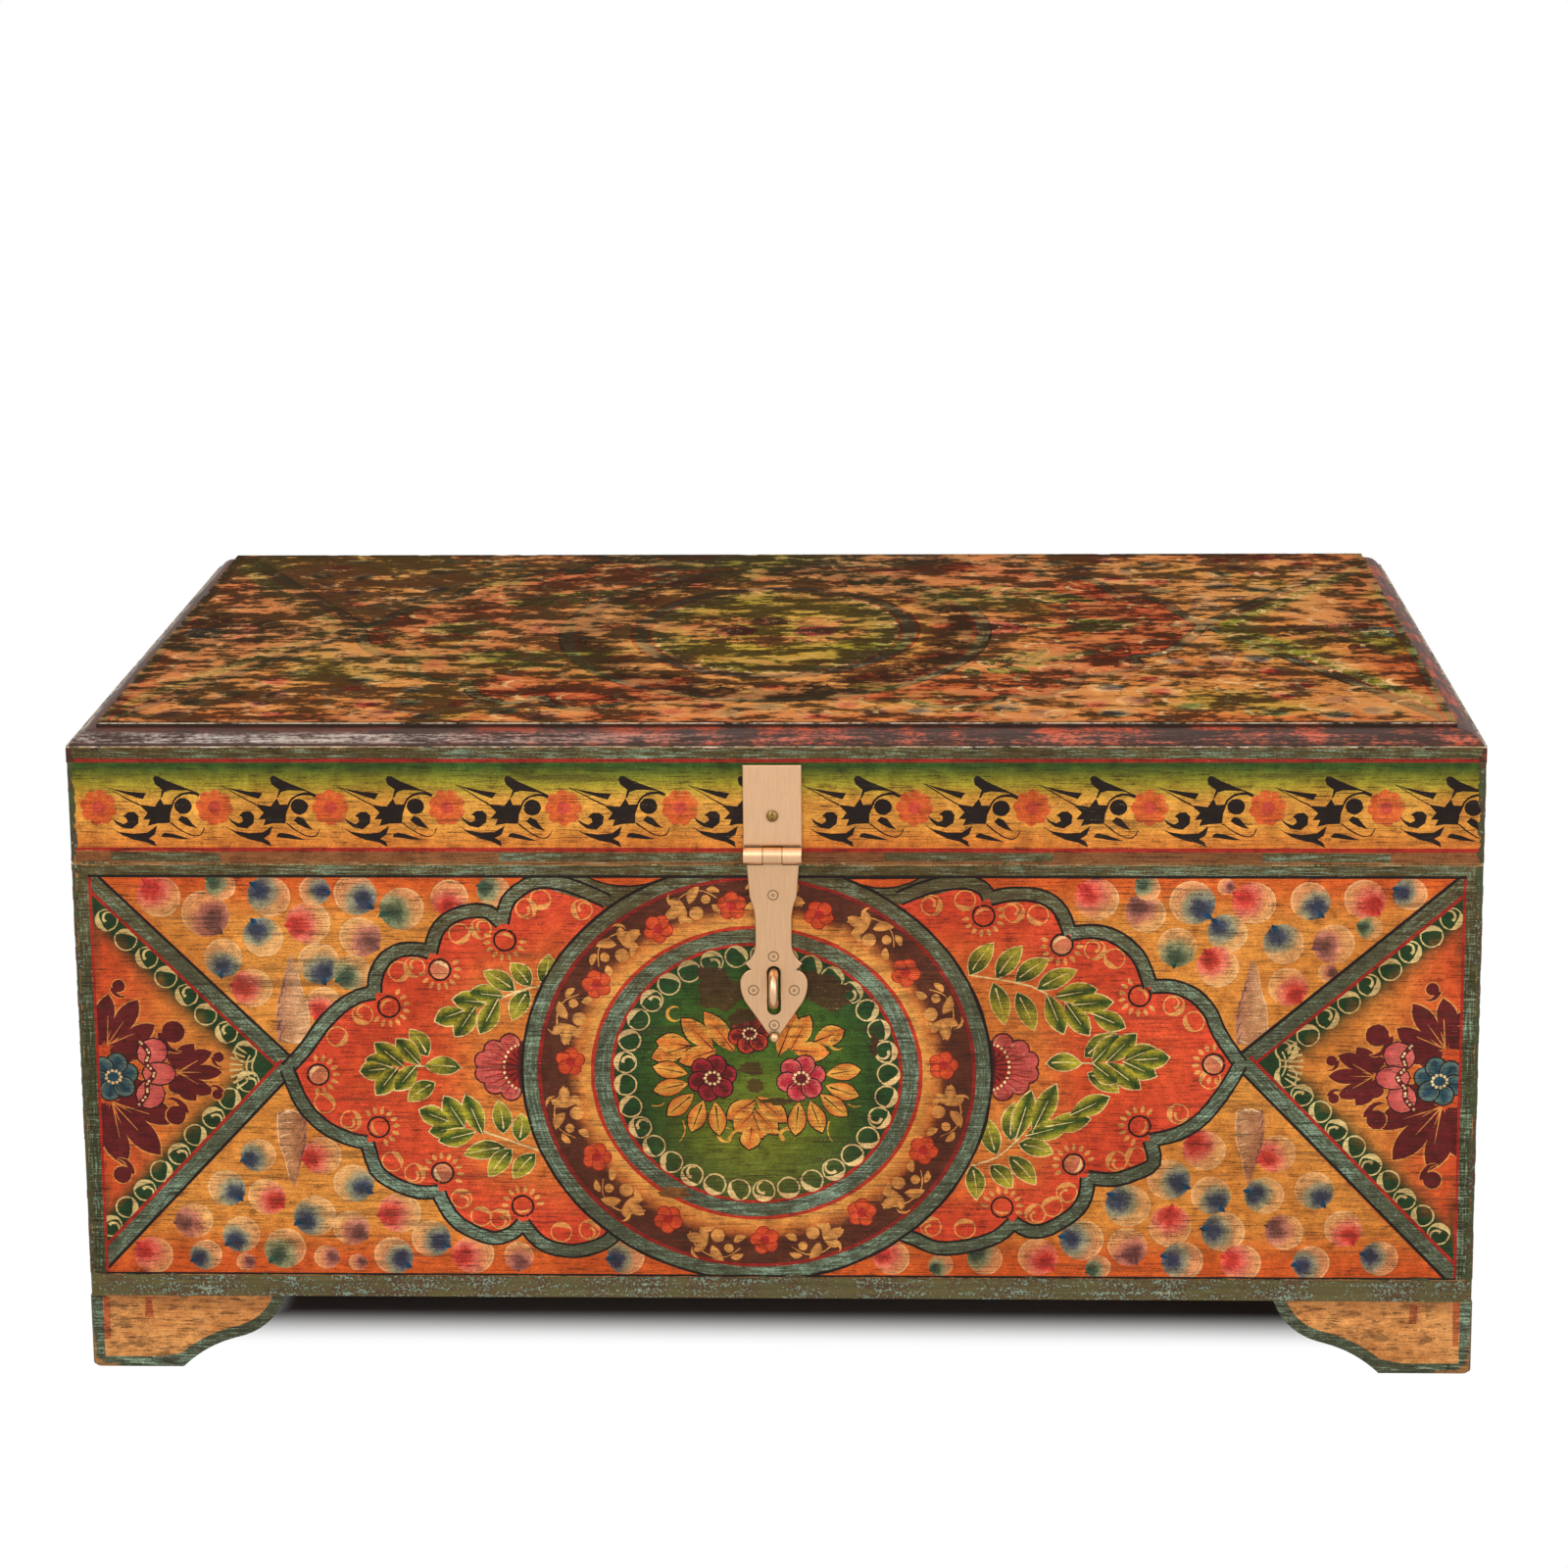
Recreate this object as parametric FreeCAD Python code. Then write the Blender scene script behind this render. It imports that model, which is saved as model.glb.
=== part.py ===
import FreeCAD, Part

import math
import os

# A painted wooden chest: a nailed board box on mitred ogee bracket feet, a box lid with a
# moulded edge on two butt hinges at the back, and a brass hasp over a staple in front.
# Millimetres. X runs across the front, Y to the back, Z up. The origin lies on the floor
# under the middle of the overall box, staple included.

# Overall sizes
CHEST_WIDTH = 760.0
CHEST_DEPTH = 460.0

# Boards
WALL = 20.0
WALL_HEIGHT = 236.0
LID_RAIL = 56.1
REBATE = 10.0
BOTTOM_BOARD = 12.0
LID_BOARD = 18.5
FRONT_PLANK = 68.0
MIDDLE_PLANK = 148.0
ARRIS = 2.0

# Moulded edge of the lid: a fillet, a step in, a flat round and a quirk up to the top
MOULD_FILLET = 8.8
MOULD_STEP = 1.2
MOULD_WIDTH = 12.8
MOULD_RISE = 7.2

# Bracket feet
FOOT_HEIGHT = 42.0
FOOT_LENGTH = 108.0
FOOT_BASE = 50.0
FOOT_BOARD = 18.0
FOOT_TOE = 4.0
OGEE_MIDDLE = 80.0
OGEE_RISE = 17.5
OGEE_HOLLOW = 2.2
OGEE_SWELL = 5.0
BLOCK_SIDE = 26.0
BLOCK_LIFT = 6.0

# Square forged nails
NAIL_HEAD = 4.4
NAIL_HEAD_DEPTH = 1.2
NAIL_SHANK = 2.2
NAIL_LENGTH = 36.0
NAIL_MARGIN = 28.0
CORNER_NAIL_COUNT = 4
LID_CORNER_NAIL_COUNT = 2
LID_EDGE_NAIL_COUNT = 4
BOTTOM_EDGE_NAIL_COUNT = 3
END_NAIL_COUNT = 2

# Butt hinges let into the seam at the back
HINGE_SPACING = 460.0
HINGE_LENGTH = 62.0
HINGE_SETBACK = 6.0
HINGE_LEAF = 11.0
HINGE_LEAF_THICK = 1.8
HINGE_KNUCKLE_RADIUS = 3.2
HINGE_PIN_RADIUS = 1.6
HINGE_SCREW_COUNT = 3
HINGE_SCREW_SPACING = 21.0
LID_STOP_ANGLE = 105.0
STOP_PLAY_ANGLE = 1.0

# Countersunk wood screws of the hinges
SCREW_HEAD_RADIUS = 2.6
SCREW_HEAD_DEPTH = 1.3
SCREW_SHANK_RADIUS = 1.3
SCREW_LENGTH = 14.0
SCREW_POINT = 3.0
SCREW_SLOT = 0.7
SCREW_SLOT_DEPTH = 0.6

# Hasp plate on the lid, with its round-headed screw
PLATE_WIDTH = 31.5
PLATE_TOP_DROP = 1.0
PLATE_THICK = 2.0
PLATE_SCREW_DROP = 28.0
PLATE_SCREW_HEAD_RADIUS = 3.2
PLATE_SCREW_HEAD_HEIGHT = 1.5
PLATE_SCREW_SHANK_RADIUS = 1.7
PLATE_SCREW_LENGTH = 15.0

# Hasp hinge
HASP_AXIS_RISE = 6.2
HASP_KNUCKLE_RADIUS = 4.4
HASP_PIN_RADIUS = 1.9
HASP_STANDOFF = 0.5

# Hasp strap: widths across, and distances down from the hinge axis
STRAP_THICK = 2.2
STRAP_SHOULDER = 5.4
STRAP_TOP_WIDTH = 28.2
STRAP_BODY_FOOT = 24.0
STRAP_BODY_WIDTH = 25.2
STRAP_WAIST_TOP = 38.0
STRAP_WAIST_FOOT = 50.0
STRAP_WAIST_WIDTH = 19.4
STRAP_HORN = 61.2
STRAP_HORN_WIDTH = 30.8
STRAP_NOTCH = 64.6
STRAP_NOTCH_WIDTH = 24.8
STRAP_HEAD = 72.4
STRAP_HEAD_WIDTH = 36.4
STRAP_TAPER = 85.8
STRAP_TAPER_WIDTH = 27.0
STRAP_TIP = 101.0
STRAP_TIP_WIDTH = 6.4
STRAP_TIP_CROWN = 1.6
STRAP_BEVEL = 0.4
BEAD_RADIUS = 2.7
SLOT_TOP = 62.4
SLOT_FOOT = 90.0
SLOT_WIDTH = 7.5

# Ring-and-dot stamps in the strap: one line down the middle and a pair beside the slot
STAMP_RADIUS = 3.0
STAMP_RING = 0.7
STAMP_DOT_RADIUS = 0.9
STAMP_DEPTH = 0.3
STAMP_TOP_DROP = 22.5
STAMP_WAIST_DROP = 57.0
STAMP_TIP_DROP = 95.8
STAMP_PAIR_DROP = 76.0
STAMP_PAIR_SPACING = 22.0

# Staple: a round bar bent to a loop, its legs through the front and clinched inside
STAPLE_REACH = 17.0
STAPLE_HEIGHT = 21.0
STAPLE_DROP = 74.2
STAPLE_RADIUS = 2.5
STAPLE_BEND = 3.6
STAPLE_CLINCH = 12.0

# Clearances
SEAM_GAP = 0.4
MOVING_GAP = 0.4
RUNNING_FIT = 0.05
SEATED_FIT = 0.02
STAPLE_FIT = 0.1
LEAF_GAP = 0.2
SAME_PLACE = 1e-6

# Planes and levels worked out from the sizes above
LEFT = -CHEST_WIDTH / 2
RIGHT = CHEST_WIDTH / 2
FRONT = -CHEST_DEPTH / 2 + STAPLE_REACH / 2
BACK = FRONT + CHEST_DEPTH
WALL_FOOT = FOOT_HEIGHT + BOTTOM_BOARD
SEAM_HEIGHT = WALL_FOOT + WALL_HEIGHT
RAIL_FOOT = SEAM_HEIGHT + SEAM_GAP
RAIL_TOP = RAIL_FOOT + LID_RAIL
LID_TOP = RAIL_TOP + LID_BOARD
MOULD_INSET = MOULD_STEP + MOULD_WIDTH
NAIL_INSET = (MOULD_INSET + WALL) / 2
HINGE_Y = BACK - HINGE_SETBACK
HINGE_Z = SEAM_HEIGHT + SEAM_GAP / 2
HINGE_SCREW_LINE = (HINGE_KNUCKLE_RADIUS + HINGE_LEAF) / 2
HINGE_PLACES = {"left": -HINGE_SPACING / 2, "right": HINGE_SPACING / 2}
HASP_Y = FRONT - HASP_STANDOFF - HASP_KNUCKLE_RADIUS
HASP_Z = SEAM_HEIGHT + HASP_AXIS_RISE
STRAP_FACE = FRONT - HASP_STANDOFF - STRAP_THICK

V = FreeCAD.Vector
ALONG_X = V(1, 0, 0)
ALONG_Y = V(0, 1, 0)


def block(x, y, z):
    """Box from the low and high value along each axis."""
    return Part.makeBox(x[1] - x[0], y[1] - y[0], z[1] - z[0], V(x[0], y[0], z[0]))


def rod(span, y, z, radius):
    """Round bar along X."""
    return Part.makeCylinder(radius, span[1] - span[0], V(span[0], y, z), ALONG_X)


def about(middle, width):
    """Low and high value of a width about its middle."""
    return (middle - width / 2, middle + width / 2)


def grown(span, gap):
    """A span made longer by a gap at each end."""
    return (span[0] - gap, span[1] + gap)


def spread(count, low, high):
    """Evenly spaced places from low to high, both ends included."""
    return [low + (high - low) * step / (count - 1) for step in range(count)]


def thirds(span):
    """Three equal spans, one after the other."""
    marks = spread(4, *span)
    return list(zip(marks[:-1], marks[1:]))


def bulged(start, end, rise):
    """Middle point of an arc that rises to the left of the line from start to end."""
    across, up = end[0] - start[0], end[1] - start[1]
    length = math.hypot(across, up)
    middle = ((start[0] + end[0]) / 2, (start[1] + end[1]) / 2)
    return (middle[0] - rise * up / length, middle[1] + rise * across / length)


def flared(side, tip):
    """Middle point of an arc that leaves an upright side smoothly and ends at a tip."""
    across, down = tip[0] - side[0], tip[1] - side[1]
    radius = (across ** 2 + down ** 2) / (2 * across)
    facing = math.copysign(1, radius)
    turn = math.atan2(down * facing, (radius - across) * facing)
    centre = side[0] + radius
    return (centre - radius * math.cos(turn / 2), side[1] + radius * math.sin(turn / 2))


def end_of(step):
    """End point of a path's step."""
    return step[1] if isinstance(step[0], tuple) else step


def wire(start, steps, place):
    """Path from start. A step is a line's end point, or an arc's middle and end points."""
    edges = []
    here = place(*start)
    for step in steps:
        end = place(*end_of(step))
        if isinstance(step[0], tuple):
            edges.append(Part.Arc(here, place(*step[0]), end).toShape())
        else:
            edges.append(Part.LineSegment(here, end).toShape())
        here = end
    return Part.Wire(edges)


def prism(start, steps, place, depth):
    """Solid of a closed outline, drawn out by a vector."""
    return Part.Face(wire(start, steps + [start], place)).extrude(depth)


def turned(path, foot, axis):
    """Turned solid: radius and distance along an axis that stands square to X."""
    closed = wire(path[0], path[1:] + path[:1], lambda r, d: foot + ALONG_X * r + axis * d)
    return Part.Face(closed).revolve(foot, axis, 360)


def edges_at(solid, test):
    """Edges of a solid whose box passes a test."""
    return [edge for edge in solid.Edges if test(edge.BoundBox)]


def eased(board, y):
    """Board with its two outer upright corners eased, on the face at y."""
    def corner(box):
        upright = box.XLength < SAME_PLACE and box.YLength < SAME_PLACE
        outside = abs(abs(box.XMin) - RIGHT) < SAME_PLACE
        return upright and outside and abs(box.YMin - y) < SAME_PLACE
    return board.makeFillet(ARRIS, edges_at(board, corner))


def nail(head, way):
    """Square nail, its head flush at a point, driven along a row axis."""
    def bar(side, length):
        spans = []
        for place, step in zip(head, way):
            spans.append(sorted((place, place + step * length)) if step else about(place, side))
        return block(*spans)
    return bar(NAIL_HEAD, NAIL_HEAD_DEPTH).fuse(bar(NAIL_SHANK, NAIL_LENGTH)).removeSplitter()


def corner_nails(count, low, high):
    """Nails through the front and back boards of a box into its ends."""
    nails = []
    for x in (LEFT + WALL / 2, RIGHT - WALL / 2):
        for z in spread(count, low, high):
            nails.append(nail((x, FRONT, z), (0, 1, 0)))
            nails.append(nail((x, BACK, z), (0, -1, 0)))
    return nails


def bottom_nails():
    """Nails up through the bottom board into the walls, between the feet."""
    clear = FOOT_LENGTH + NAIL_MARGIN
    nails = []
    for y in (FRONT + WALL / 2, BACK - WALL / 2):
        for x in spread(BOTTOM_EDGE_NAIL_COUNT, LEFT + clear, RIGHT - clear):
            nails.append(nail((x, y, FOOT_HEIGHT), (0, 0, 1)))
    for x in (LEFT + WALL / 2, RIGHT - WALL / 2):
        for y in spread(END_NAIL_COUNT, FRONT + clear, BACK - clear):
            nails.append(nail((x, y, FOOT_HEIGHT), (0, 0, 1)))
    return nails


def lid_top_nails():
    """Nails down through the lid's planks into its rails."""
    nails = []
    for y in (FRONT + NAIL_INSET, BACK - NAIL_INSET):
        for x in spread(LID_EDGE_NAIL_COUNT, LEFT + FOOT_LENGTH, RIGHT - FOOT_LENGTH):
            nails.append(nail((x, y, LID_TOP), (0, 0, -1)))
    for x in (LEFT + NAIL_INSET, RIGHT - NAIL_INSET):
        for low, high in plank_spans()[1:]:
            for y in spread(END_NAIL_COUNT, low + NAIL_MARGIN, high - NAIL_MARGIN):
                nails.append(nail((x, y, LID_TOP), (0, 0, -1)))
    return nails


def box_walls(low, high):
    """Front, back, left and right boards of a rebated box."""
    z = (low, high)
    end_y = (FRONT + WALL - REBATE, BACK - WALL + REBATE)
    left = block((LEFT, LEFT + WALL), end_y, z)
    right = block((RIGHT - WALL, RIGHT), end_y, z)
    front = block((LEFT, RIGHT), (FRONT, FRONT + WALL), z).cut([left, right])
    back = block((LEFT, RIGHT), (BACK - WALL, BACK), z).cut([left, right])
    return eased(front, FRONT), eased(back, BACK), left, right


def bottom_board():
    """Board under the walls, its edge in line with their faces."""
    board = block((LEFT, RIGHT), (FRONT, BACK), (FOOT_HEIGHT, WALL_FOOT))
    return eased(eased(board, FRONT), BACK)


def plank_spans():
    """Places across the depth of the lid's front, middle and rear planks."""
    first = FRONT + FRONT_PLANK
    second = first + MIDDLE_PLANK
    return [(FRONT, first), (first, second), (second, BACK)]


def mould_cut(place, depth):
    """Waste outside the lid's moulded edge: inset from the face and height above the rail."""
    clear = MOULD_INSET
    radius = (MOULD_WIDTH ** 2 + MOULD_RISE ** 2) / (2 * MOULD_RISE)
    half = math.asin(MOULD_WIDTH / radius) / 2
    step = (MOULD_STEP, MOULD_FILLET)
    crown = (MOULD_INSET, MOULD_FILLET + MOULD_RISE)
    through = (crown[0] - radius * math.sin(half), crown[1] - radius * (1 - math.cos(half)))
    above = LID_BOARD + clear
    steps = [step, (through, crown), (MOULD_INSET, above), (-clear, above)]
    return prism((-clear, MOULD_FILLET), steps, place, depth)


def lid_planks():
    """Three planks side by side, moulded round the outside of the lid."""
    along, across = V(CHEST_WIDTH, 0, 0), V(0, CHEST_DEPTH, 0)
    waste = [
        mould_cut(lambda a, h: V(LEFT, FRONT + a, RAIL_TOP + h), along),
        mould_cut(lambda a, h: V(LEFT, BACK - a, RAIL_TOP + h), along),
        mould_cut(lambda a, h: V(LEFT + a, FRONT, RAIL_TOP + h), across),
        mould_cut(lambda a, h: V(RIGHT - a, FRONT, RAIL_TOP + h), across),
    ]
    z = (RAIL_TOP, LID_TOP)
    return [block((LEFT, RIGHT), span, z).cut(waste) for span in plank_spans()]


def foot_bracket(place, inward):
    """One bracket of a foot: distance along its face from the corner, and height."""
    base, middle = (FOOT_BASE, 0), (OGEE_MIDDLE, OGEE_RISE)
    inner = (FOOT_LENGTH, FOOT_HEIGHT)
    toe = FOOT_TOE * (1 - math.sqrt(0.5))
    steps = [
        ((toe, toe), (FOOT_TOE, 0)),
        base,
        (bulged(base, middle, OGEE_HOLLOW), middle),
        (bulged(middle, inner, -OGEE_SWELL), inner),
        (0, FOOT_HEIGHT),
    ]
    return prism((0, FOOT_TOE), steps, place, inward * FOOT_BOARD)


def foot(right, back):
    """Face bracket, side bracket and glue block of one foot, mitred at the corner."""
    corner_x, inward_x = (RIGHT, -1) if right else (LEFT, 1)
    corner_y, inward_y = (BACK, -1) if back else (FRONT, 1)
    board, length = FOOT_BOARD, FOOT_LENGTH
    tall = V(0, 0, FOOT_HEIGHT)

    def plan(along, depth):
        return V(corner_x + inward_x * along, corner_y + inward_y * depth, 0)

    mitre = [(length, 0), (length, board), (board, board)]
    face = foot_bracket(lambda u, h: plan(u, 0) + V(0, 0, h), ALONG_Y * inward_y)
    side = foot_bracket(lambda u, h: plan(0, u) + V(0, 0, h), ALONG_X * inward_x)
    face = face.common(prism((0, 0), mitre, plan, tall))
    side = side.common(prism((0, 0), mitre, lambda u, w: plan(w, u), tall))
    near, far = plan(board, board), plan(board + BLOCK_SIDE, board + BLOCK_SIDE)
    glue_block = block(sorted((near.x, far.x)), sorted((near.y, far.y)), (BLOCK_LIFT, FOOT_HEIGHT))
    return {"face": face, "side": side, "block": glue_block}


def stop_chamfer(way):
    """Wedge off the back edge at the seam. The two chamfers meet when the lid is open."""
    slope = math.radians((LID_STOP_ANGLE + STOP_PLAY_ANGLE) / 2)
    rise = HINGE_SETBACK * math.tan(slope) * way
    steps = [(BACK, HINGE_Z + rise), (BACK, HINGE_Z)]
    return prism((HINGE_Y, HINGE_Z), steps, lambda y, z: V(LEFT, y, z), V(CHEST_WIDTH, 0, 0))


def leaf_plate(middle, way):
    """Flat of a hinge leaf, above the axis for the lid and below it for the chest."""
    inner = HINGE_Z + way * LEAF_GAP / 2
    outer = inner + way * HINGE_LEAF_THICK
    return block(about(middle, HINGE_LENGTH), (HINGE_Y - HINGE_LEAF, HINGE_Y), sorted((inner, outer)))


def knuckles(spans, y, z, radius):
    """Knuckles of a hinge, with end play, and the room that the other leaf leaves them."""
    own = [rod(grown(span, -MOVING_GAP / 2), y, z, radius) for span in spans]
    room = [rod(grown(span, MOVING_GAP / 2), y, z, radius + MOVING_GAP) for span in spans]
    return own, room


def hinge_screw(x, way, fit=0.0):
    """Countersunk screw through a leaf, up into the lid or down into the chest."""
    start = V(x, HINGE_Y - HINGE_SCREW_LINE, HINGE_Z + way * LEAF_GAP / 2)
    head, shank = SCREW_HEAD_RADIUS + fit, SCREW_SHANK_RADIUS + fit
    straight = SCREW_LENGTH - SCREW_POINT
    path = [(0, 0), (head, 0), (shank, SCREW_HEAD_DEPTH), (shank, straight), (0, SCREW_LENGTH + fit)]
    return turned(path, start, V(0, 0, way))


def slotted_hinge_screw(x, way):
    """Hinge screw with the slot in its head."""
    face = HINGE_Z + way * LEAF_GAP / 2
    z = sorted((face, face + way * SCREW_SLOT_DEPTH))
    y = about(HINGE_Y - HINGE_SCREW_LINE, SCREW_SLOT)
    return hinge_screw(x, way).cut(block(about(x, 2 * SCREW_HEAD_RADIUS), y, z))


def hinge_screw_places(middle):
    """Screws of one leaf along X."""
    reach = HINGE_SCREW_SPACING * (HINGE_SCREW_COUNT - 1)
    return spread(HINGE_SCREW_COUNT, *about(middle, reach))


def hinge_leaf(middle, way):
    """Leaf with its knuckles: the middle one on the lid, the outer two on the chest."""
    spans = thirds(about(middle, HINGE_LENGTH))
    outer, inner = spans[::2], spans[1:2]
    own, other = (inner, outer) if way > 0 else (outer, inner)
    fit = RUNNING_FIT if way > 0 else SEATED_FIT
    leaf = leaf_plate(middle, way)
    leaf = leaf.cut(knuckles(other, HINGE_Y, HINGE_Z, HINGE_KNUCKLE_RADIUS)[1])
    leaf = leaf.fuse(knuckles(own, HINGE_Y, HINGE_Z, HINGE_KNUCKLE_RADIUS)[0])
    bore = rod(about(middle, HINGE_LENGTH), HINGE_Y, HINGE_Z, HINGE_PIN_RADIUS + fit)
    holes = [hinge_screw(x, way, SEATED_FIT) for x in hinge_screw_places(middle)]
    return leaf.cut([bore] + holes)


def hinge_pin(middle):
    """Pin through the knuckles of one hinge."""
    return rod(about(middle, HINGE_LENGTH), HINGE_Y, HINGE_Z, HINGE_PIN_RADIUS)


def hinge_gains(way):
    """What is cut from a board for both hinges: leaf recess, knuckle groove and screw holes."""
    cuts = []
    for middle in HINGE_PLACES.values():
        groove = grown(about(middle, HINGE_LENGTH), MOVING_GAP)
        cuts.append(leaf_plate(middle, way))
        cuts.append(rod(groove, HINGE_Y, HINGE_Z, HINGE_KNUCKLE_RADIUS + MOVING_GAP))
        cuts.extend(hinge_screw(x, way, SEATED_FIT) for x in hinge_screw_places(middle))
    return cuts


def hinge_screws(way):
    """Screws of both hinges on one side of the seam."""
    return [
        slotted_hinge_screw(x, way)
        for middle in HINGE_PLACES.values()
        for x in hinge_screw_places(middle)
    ]


def plate_screw(fit=0.0):
    """Round-headed screw of the hasp plate, with its slot when it is made to size."""
    face = FRONT - PLATE_THICK
    height = RAIL_TOP - PLATE_TOP_DROP - PLATE_SCREW_DROP
    head, crown = PLATE_SCREW_HEAD_RADIUS, PLATE_SCREW_HEAD_HEIGHT
    shank = PLATE_SCREW_SHANK_RADIUS + fit
    straight = PLATE_SCREW_LENGTH - SCREW_POINT
    dome = bulged((0, -crown), (head, 0), -crown / 3)
    path = [(0, -crown), (dome, (head, 0)), (shank, 0), (shank, straight), (0, PLATE_SCREW_LENGTH + fit)]
    screw = turned(path, V(0, face, height), ALONG_Y)
    if fit:
        return screw
    depth = (face - crown, face - crown + SCREW_SLOT_DEPTH)
    return screw.cut(block(about(0, SCREW_SLOT), depth, about(height, 2 * head)))


def hasp_knuckles(outer):
    """Knuckles of the plate (the outer two) or the strap (the middle one), and their room."""
    spans = thirds(about(0, PLATE_WIDTH))
    return knuckles(spans[::2] if outer else spans[1:2], HASP_Y, HASP_Z, HASP_KNUCKLE_RADIUS)


def hasp_pin(fit=0.0):
    """Pin of the hasp hinge, or with a fit the bore that takes it."""
    return rod(about(0, PLATE_WIDTH), HASP_Y, HASP_Z, HASP_PIN_RADIUS + fit)


def bevelled(plate, y):
    """Plate with the edges of its front face bevelled."""
    front = edges_at(plate, lambda box: abs(box.YMin - y) < SAME_PLACE and box.YLength < SAME_PLACE)
    return plate.makeChamfer(STRAP_BEVEL, front)


def hasp_plate():
    """Plate screwed to the lid, rolled into the two outer knuckles."""
    face = FRONT - PLATE_THICK
    plate = block(about(0, PLATE_WIDTH), (face, FRONT), (HASP_Z, RAIL_TOP - PLATE_TOP_DROP))
    plate = bevelled(plate, face).cut(hasp_knuckles(False)[1])
    notch = grown(thirds(about(0, PLATE_WIDTH))[1], MOVING_GAP / 2)
    top = HASP_Z + HASP_KNUCKLE_RADIUS + MOVING_GAP
    plate = plate.cut(block(notch, (face, FRONT), (HASP_Z, top)))
    plate = plate.fuse(hasp_knuckles(True)[0])
    return plate.cut([hasp_pin(SEATED_FIT), plate_screw(SEATED_FIT)])


def strap_outline():
    """Start and steps round the strap: half width, and distance down from the axis."""
    start = (STRAP_TOP_WIDTH / 2, STRAP_SHOULDER)
    body = (STRAP_BODY_WIDTH / 2, STRAP_BODY_FOOT)
    waist_top = (STRAP_WAIST_WIDTH / 2, STRAP_WAIST_TOP)
    waist_foot = (STRAP_WAIST_WIDTH / 2, STRAP_WAIST_FOOT)
    horn = (STRAP_HORN_WIDTH / 2, STRAP_HORN)
    notch = (STRAP_NOTCH_WIDTH / 2, STRAP_NOTCH)
    head = (STRAP_HEAD_WIDTH / 2, STRAP_HEAD)
    taper = (STRAP_TAPER_WIDTH / 2, STRAP_TAPER)
    tip = (STRAP_TIP_WIDTH / 2, STRAP_TIP)
    side = [
        body,
        (flared(waist_top, body), waist_top),
        waist_foot,
        (flared(waist_foot, horn), horn),
        notch,
        (flared(head, notch), head),
        (flared(head, taper), taper),
        tip,
    ]

    def other(point):
        return (-point[0], point[1])

    back = []
    for step, before in zip(side[::-1], ([start] + side)[-2::-1]):
        end = other(end_of(before))
        back.append((other(step[0]), end) if isinstance(step[0], tuple) else end)
    round_tip = ((0, STRAP_TIP + STRAP_TIP_CROWN), other(tip))
    return start, side + [round_tip] + back


def stamp(x, drop):
    """Ring and dot sunk into the face of the strap."""
    middle = V(x, STRAP_FACE, HASP_Z - drop)

    def disc(radius):
        return Part.makeCylinder(radius, STAMP_DEPTH, middle, ALONG_Y)

    return [disc(STAMP_RADIUS).cut(disc(STAMP_RADIUS - STAMP_RING)), disc(STAMP_DOT_RADIUS)]


def hasp_strap():
    """Swinging strap: middle knuckle, waisted and horned plate, slot, stamps and tip bead."""
    start, steps = strap_outline()
    y = (STRAP_FACE, STRAP_FACE + STRAP_THICK)

    def place(x, drop):
        return V(x, STRAP_FACE, HASP_Z - drop)

    strap = bevelled(prism(start, steps, place, ALONG_Y * STRAP_THICK), STRAP_FACE)
    knuckle_span = grown(thirds(about(0, PLATE_WIDTH))[1], -MOVING_GAP / 2)
    neck = block(knuckle_span, y, (HASP_Z - STRAP_SHOULDER - STRAP_BEVEL, HASP_Z))
    bead_y = FRONT - HASP_STANDOFF - BEAD_RADIUS
    bead = Part.makeSphere(BEAD_RADIUS, V(0, bead_y, HASP_Z - STRAP_TIP - STRAP_TIP_CROWN))
    strap = strap.fuse([neck, bead] + hasp_knuckles(False)[0])

    half = SLOT_WIDTH / 2
    slot_steps = [
        (half, SLOT_FOOT - half),
        ((0, SLOT_FOOT), (-half, SLOT_FOOT - half)),
        (-half, SLOT_TOP + half),
        ((0, SLOT_TOP), (half, SLOT_TOP + half)),
    ]
    slot = Part.Face(wire((half, SLOT_TOP + half), slot_steps, place)).extrude(ALONG_Y * STRAP_THICK)
    stamps = []
    for drop in (STAMP_TOP_DROP, STAMP_WAIST_DROP, STAMP_TIP_DROP):
        stamps += stamp(0, drop)
    for x in about(0, STAMP_PAIR_SPACING):
        stamps += stamp(x, STAMP_PAIR_DROP)
    return strap.cut([slot, hasp_pin(RUNNING_FIT)] + stamps)


def staple(fit=0.0):
    """Bar along a looped path in the upright plane of the strap's middle line."""
    radius = STAPLE_RADIUS
    middle = HASP_Z - STAPLE_DROP
    low, high = about(middle, STAPLE_HEIGHT - 2 * radius)
    loop = (high - low) / 2
    nose = FRONT - STAPLE_REACH + radius
    inside = FRONT + WALL + radius + STAPLE_FIT
    bend = STAPLE_BEND
    ease = bend * (1 - math.sqrt(0.5))
    start = (inside, high + bend + STAPLE_CLINCH)
    steps = [
        (inside, high + bend),
        ((inside - ease, high + ease), (inside - bend, high)),
        (nose + loop, high),
        ((nose, middle), (nose + loop, low)),
        (inside - bend, low),
        ((inside - ease, low - ease), (inside, low - bend)),
        (inside, low - bend - STAPLE_CLINCH),
    ]
    spine = wire(start, steps, lambda y, z: V(0, y, z))
    section = Part.Wire(Part.makeCircle(radius + fit, V(0, *start), V(0, 0, 1)))
    return spine.makePipeShell([section], True, False)


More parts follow.
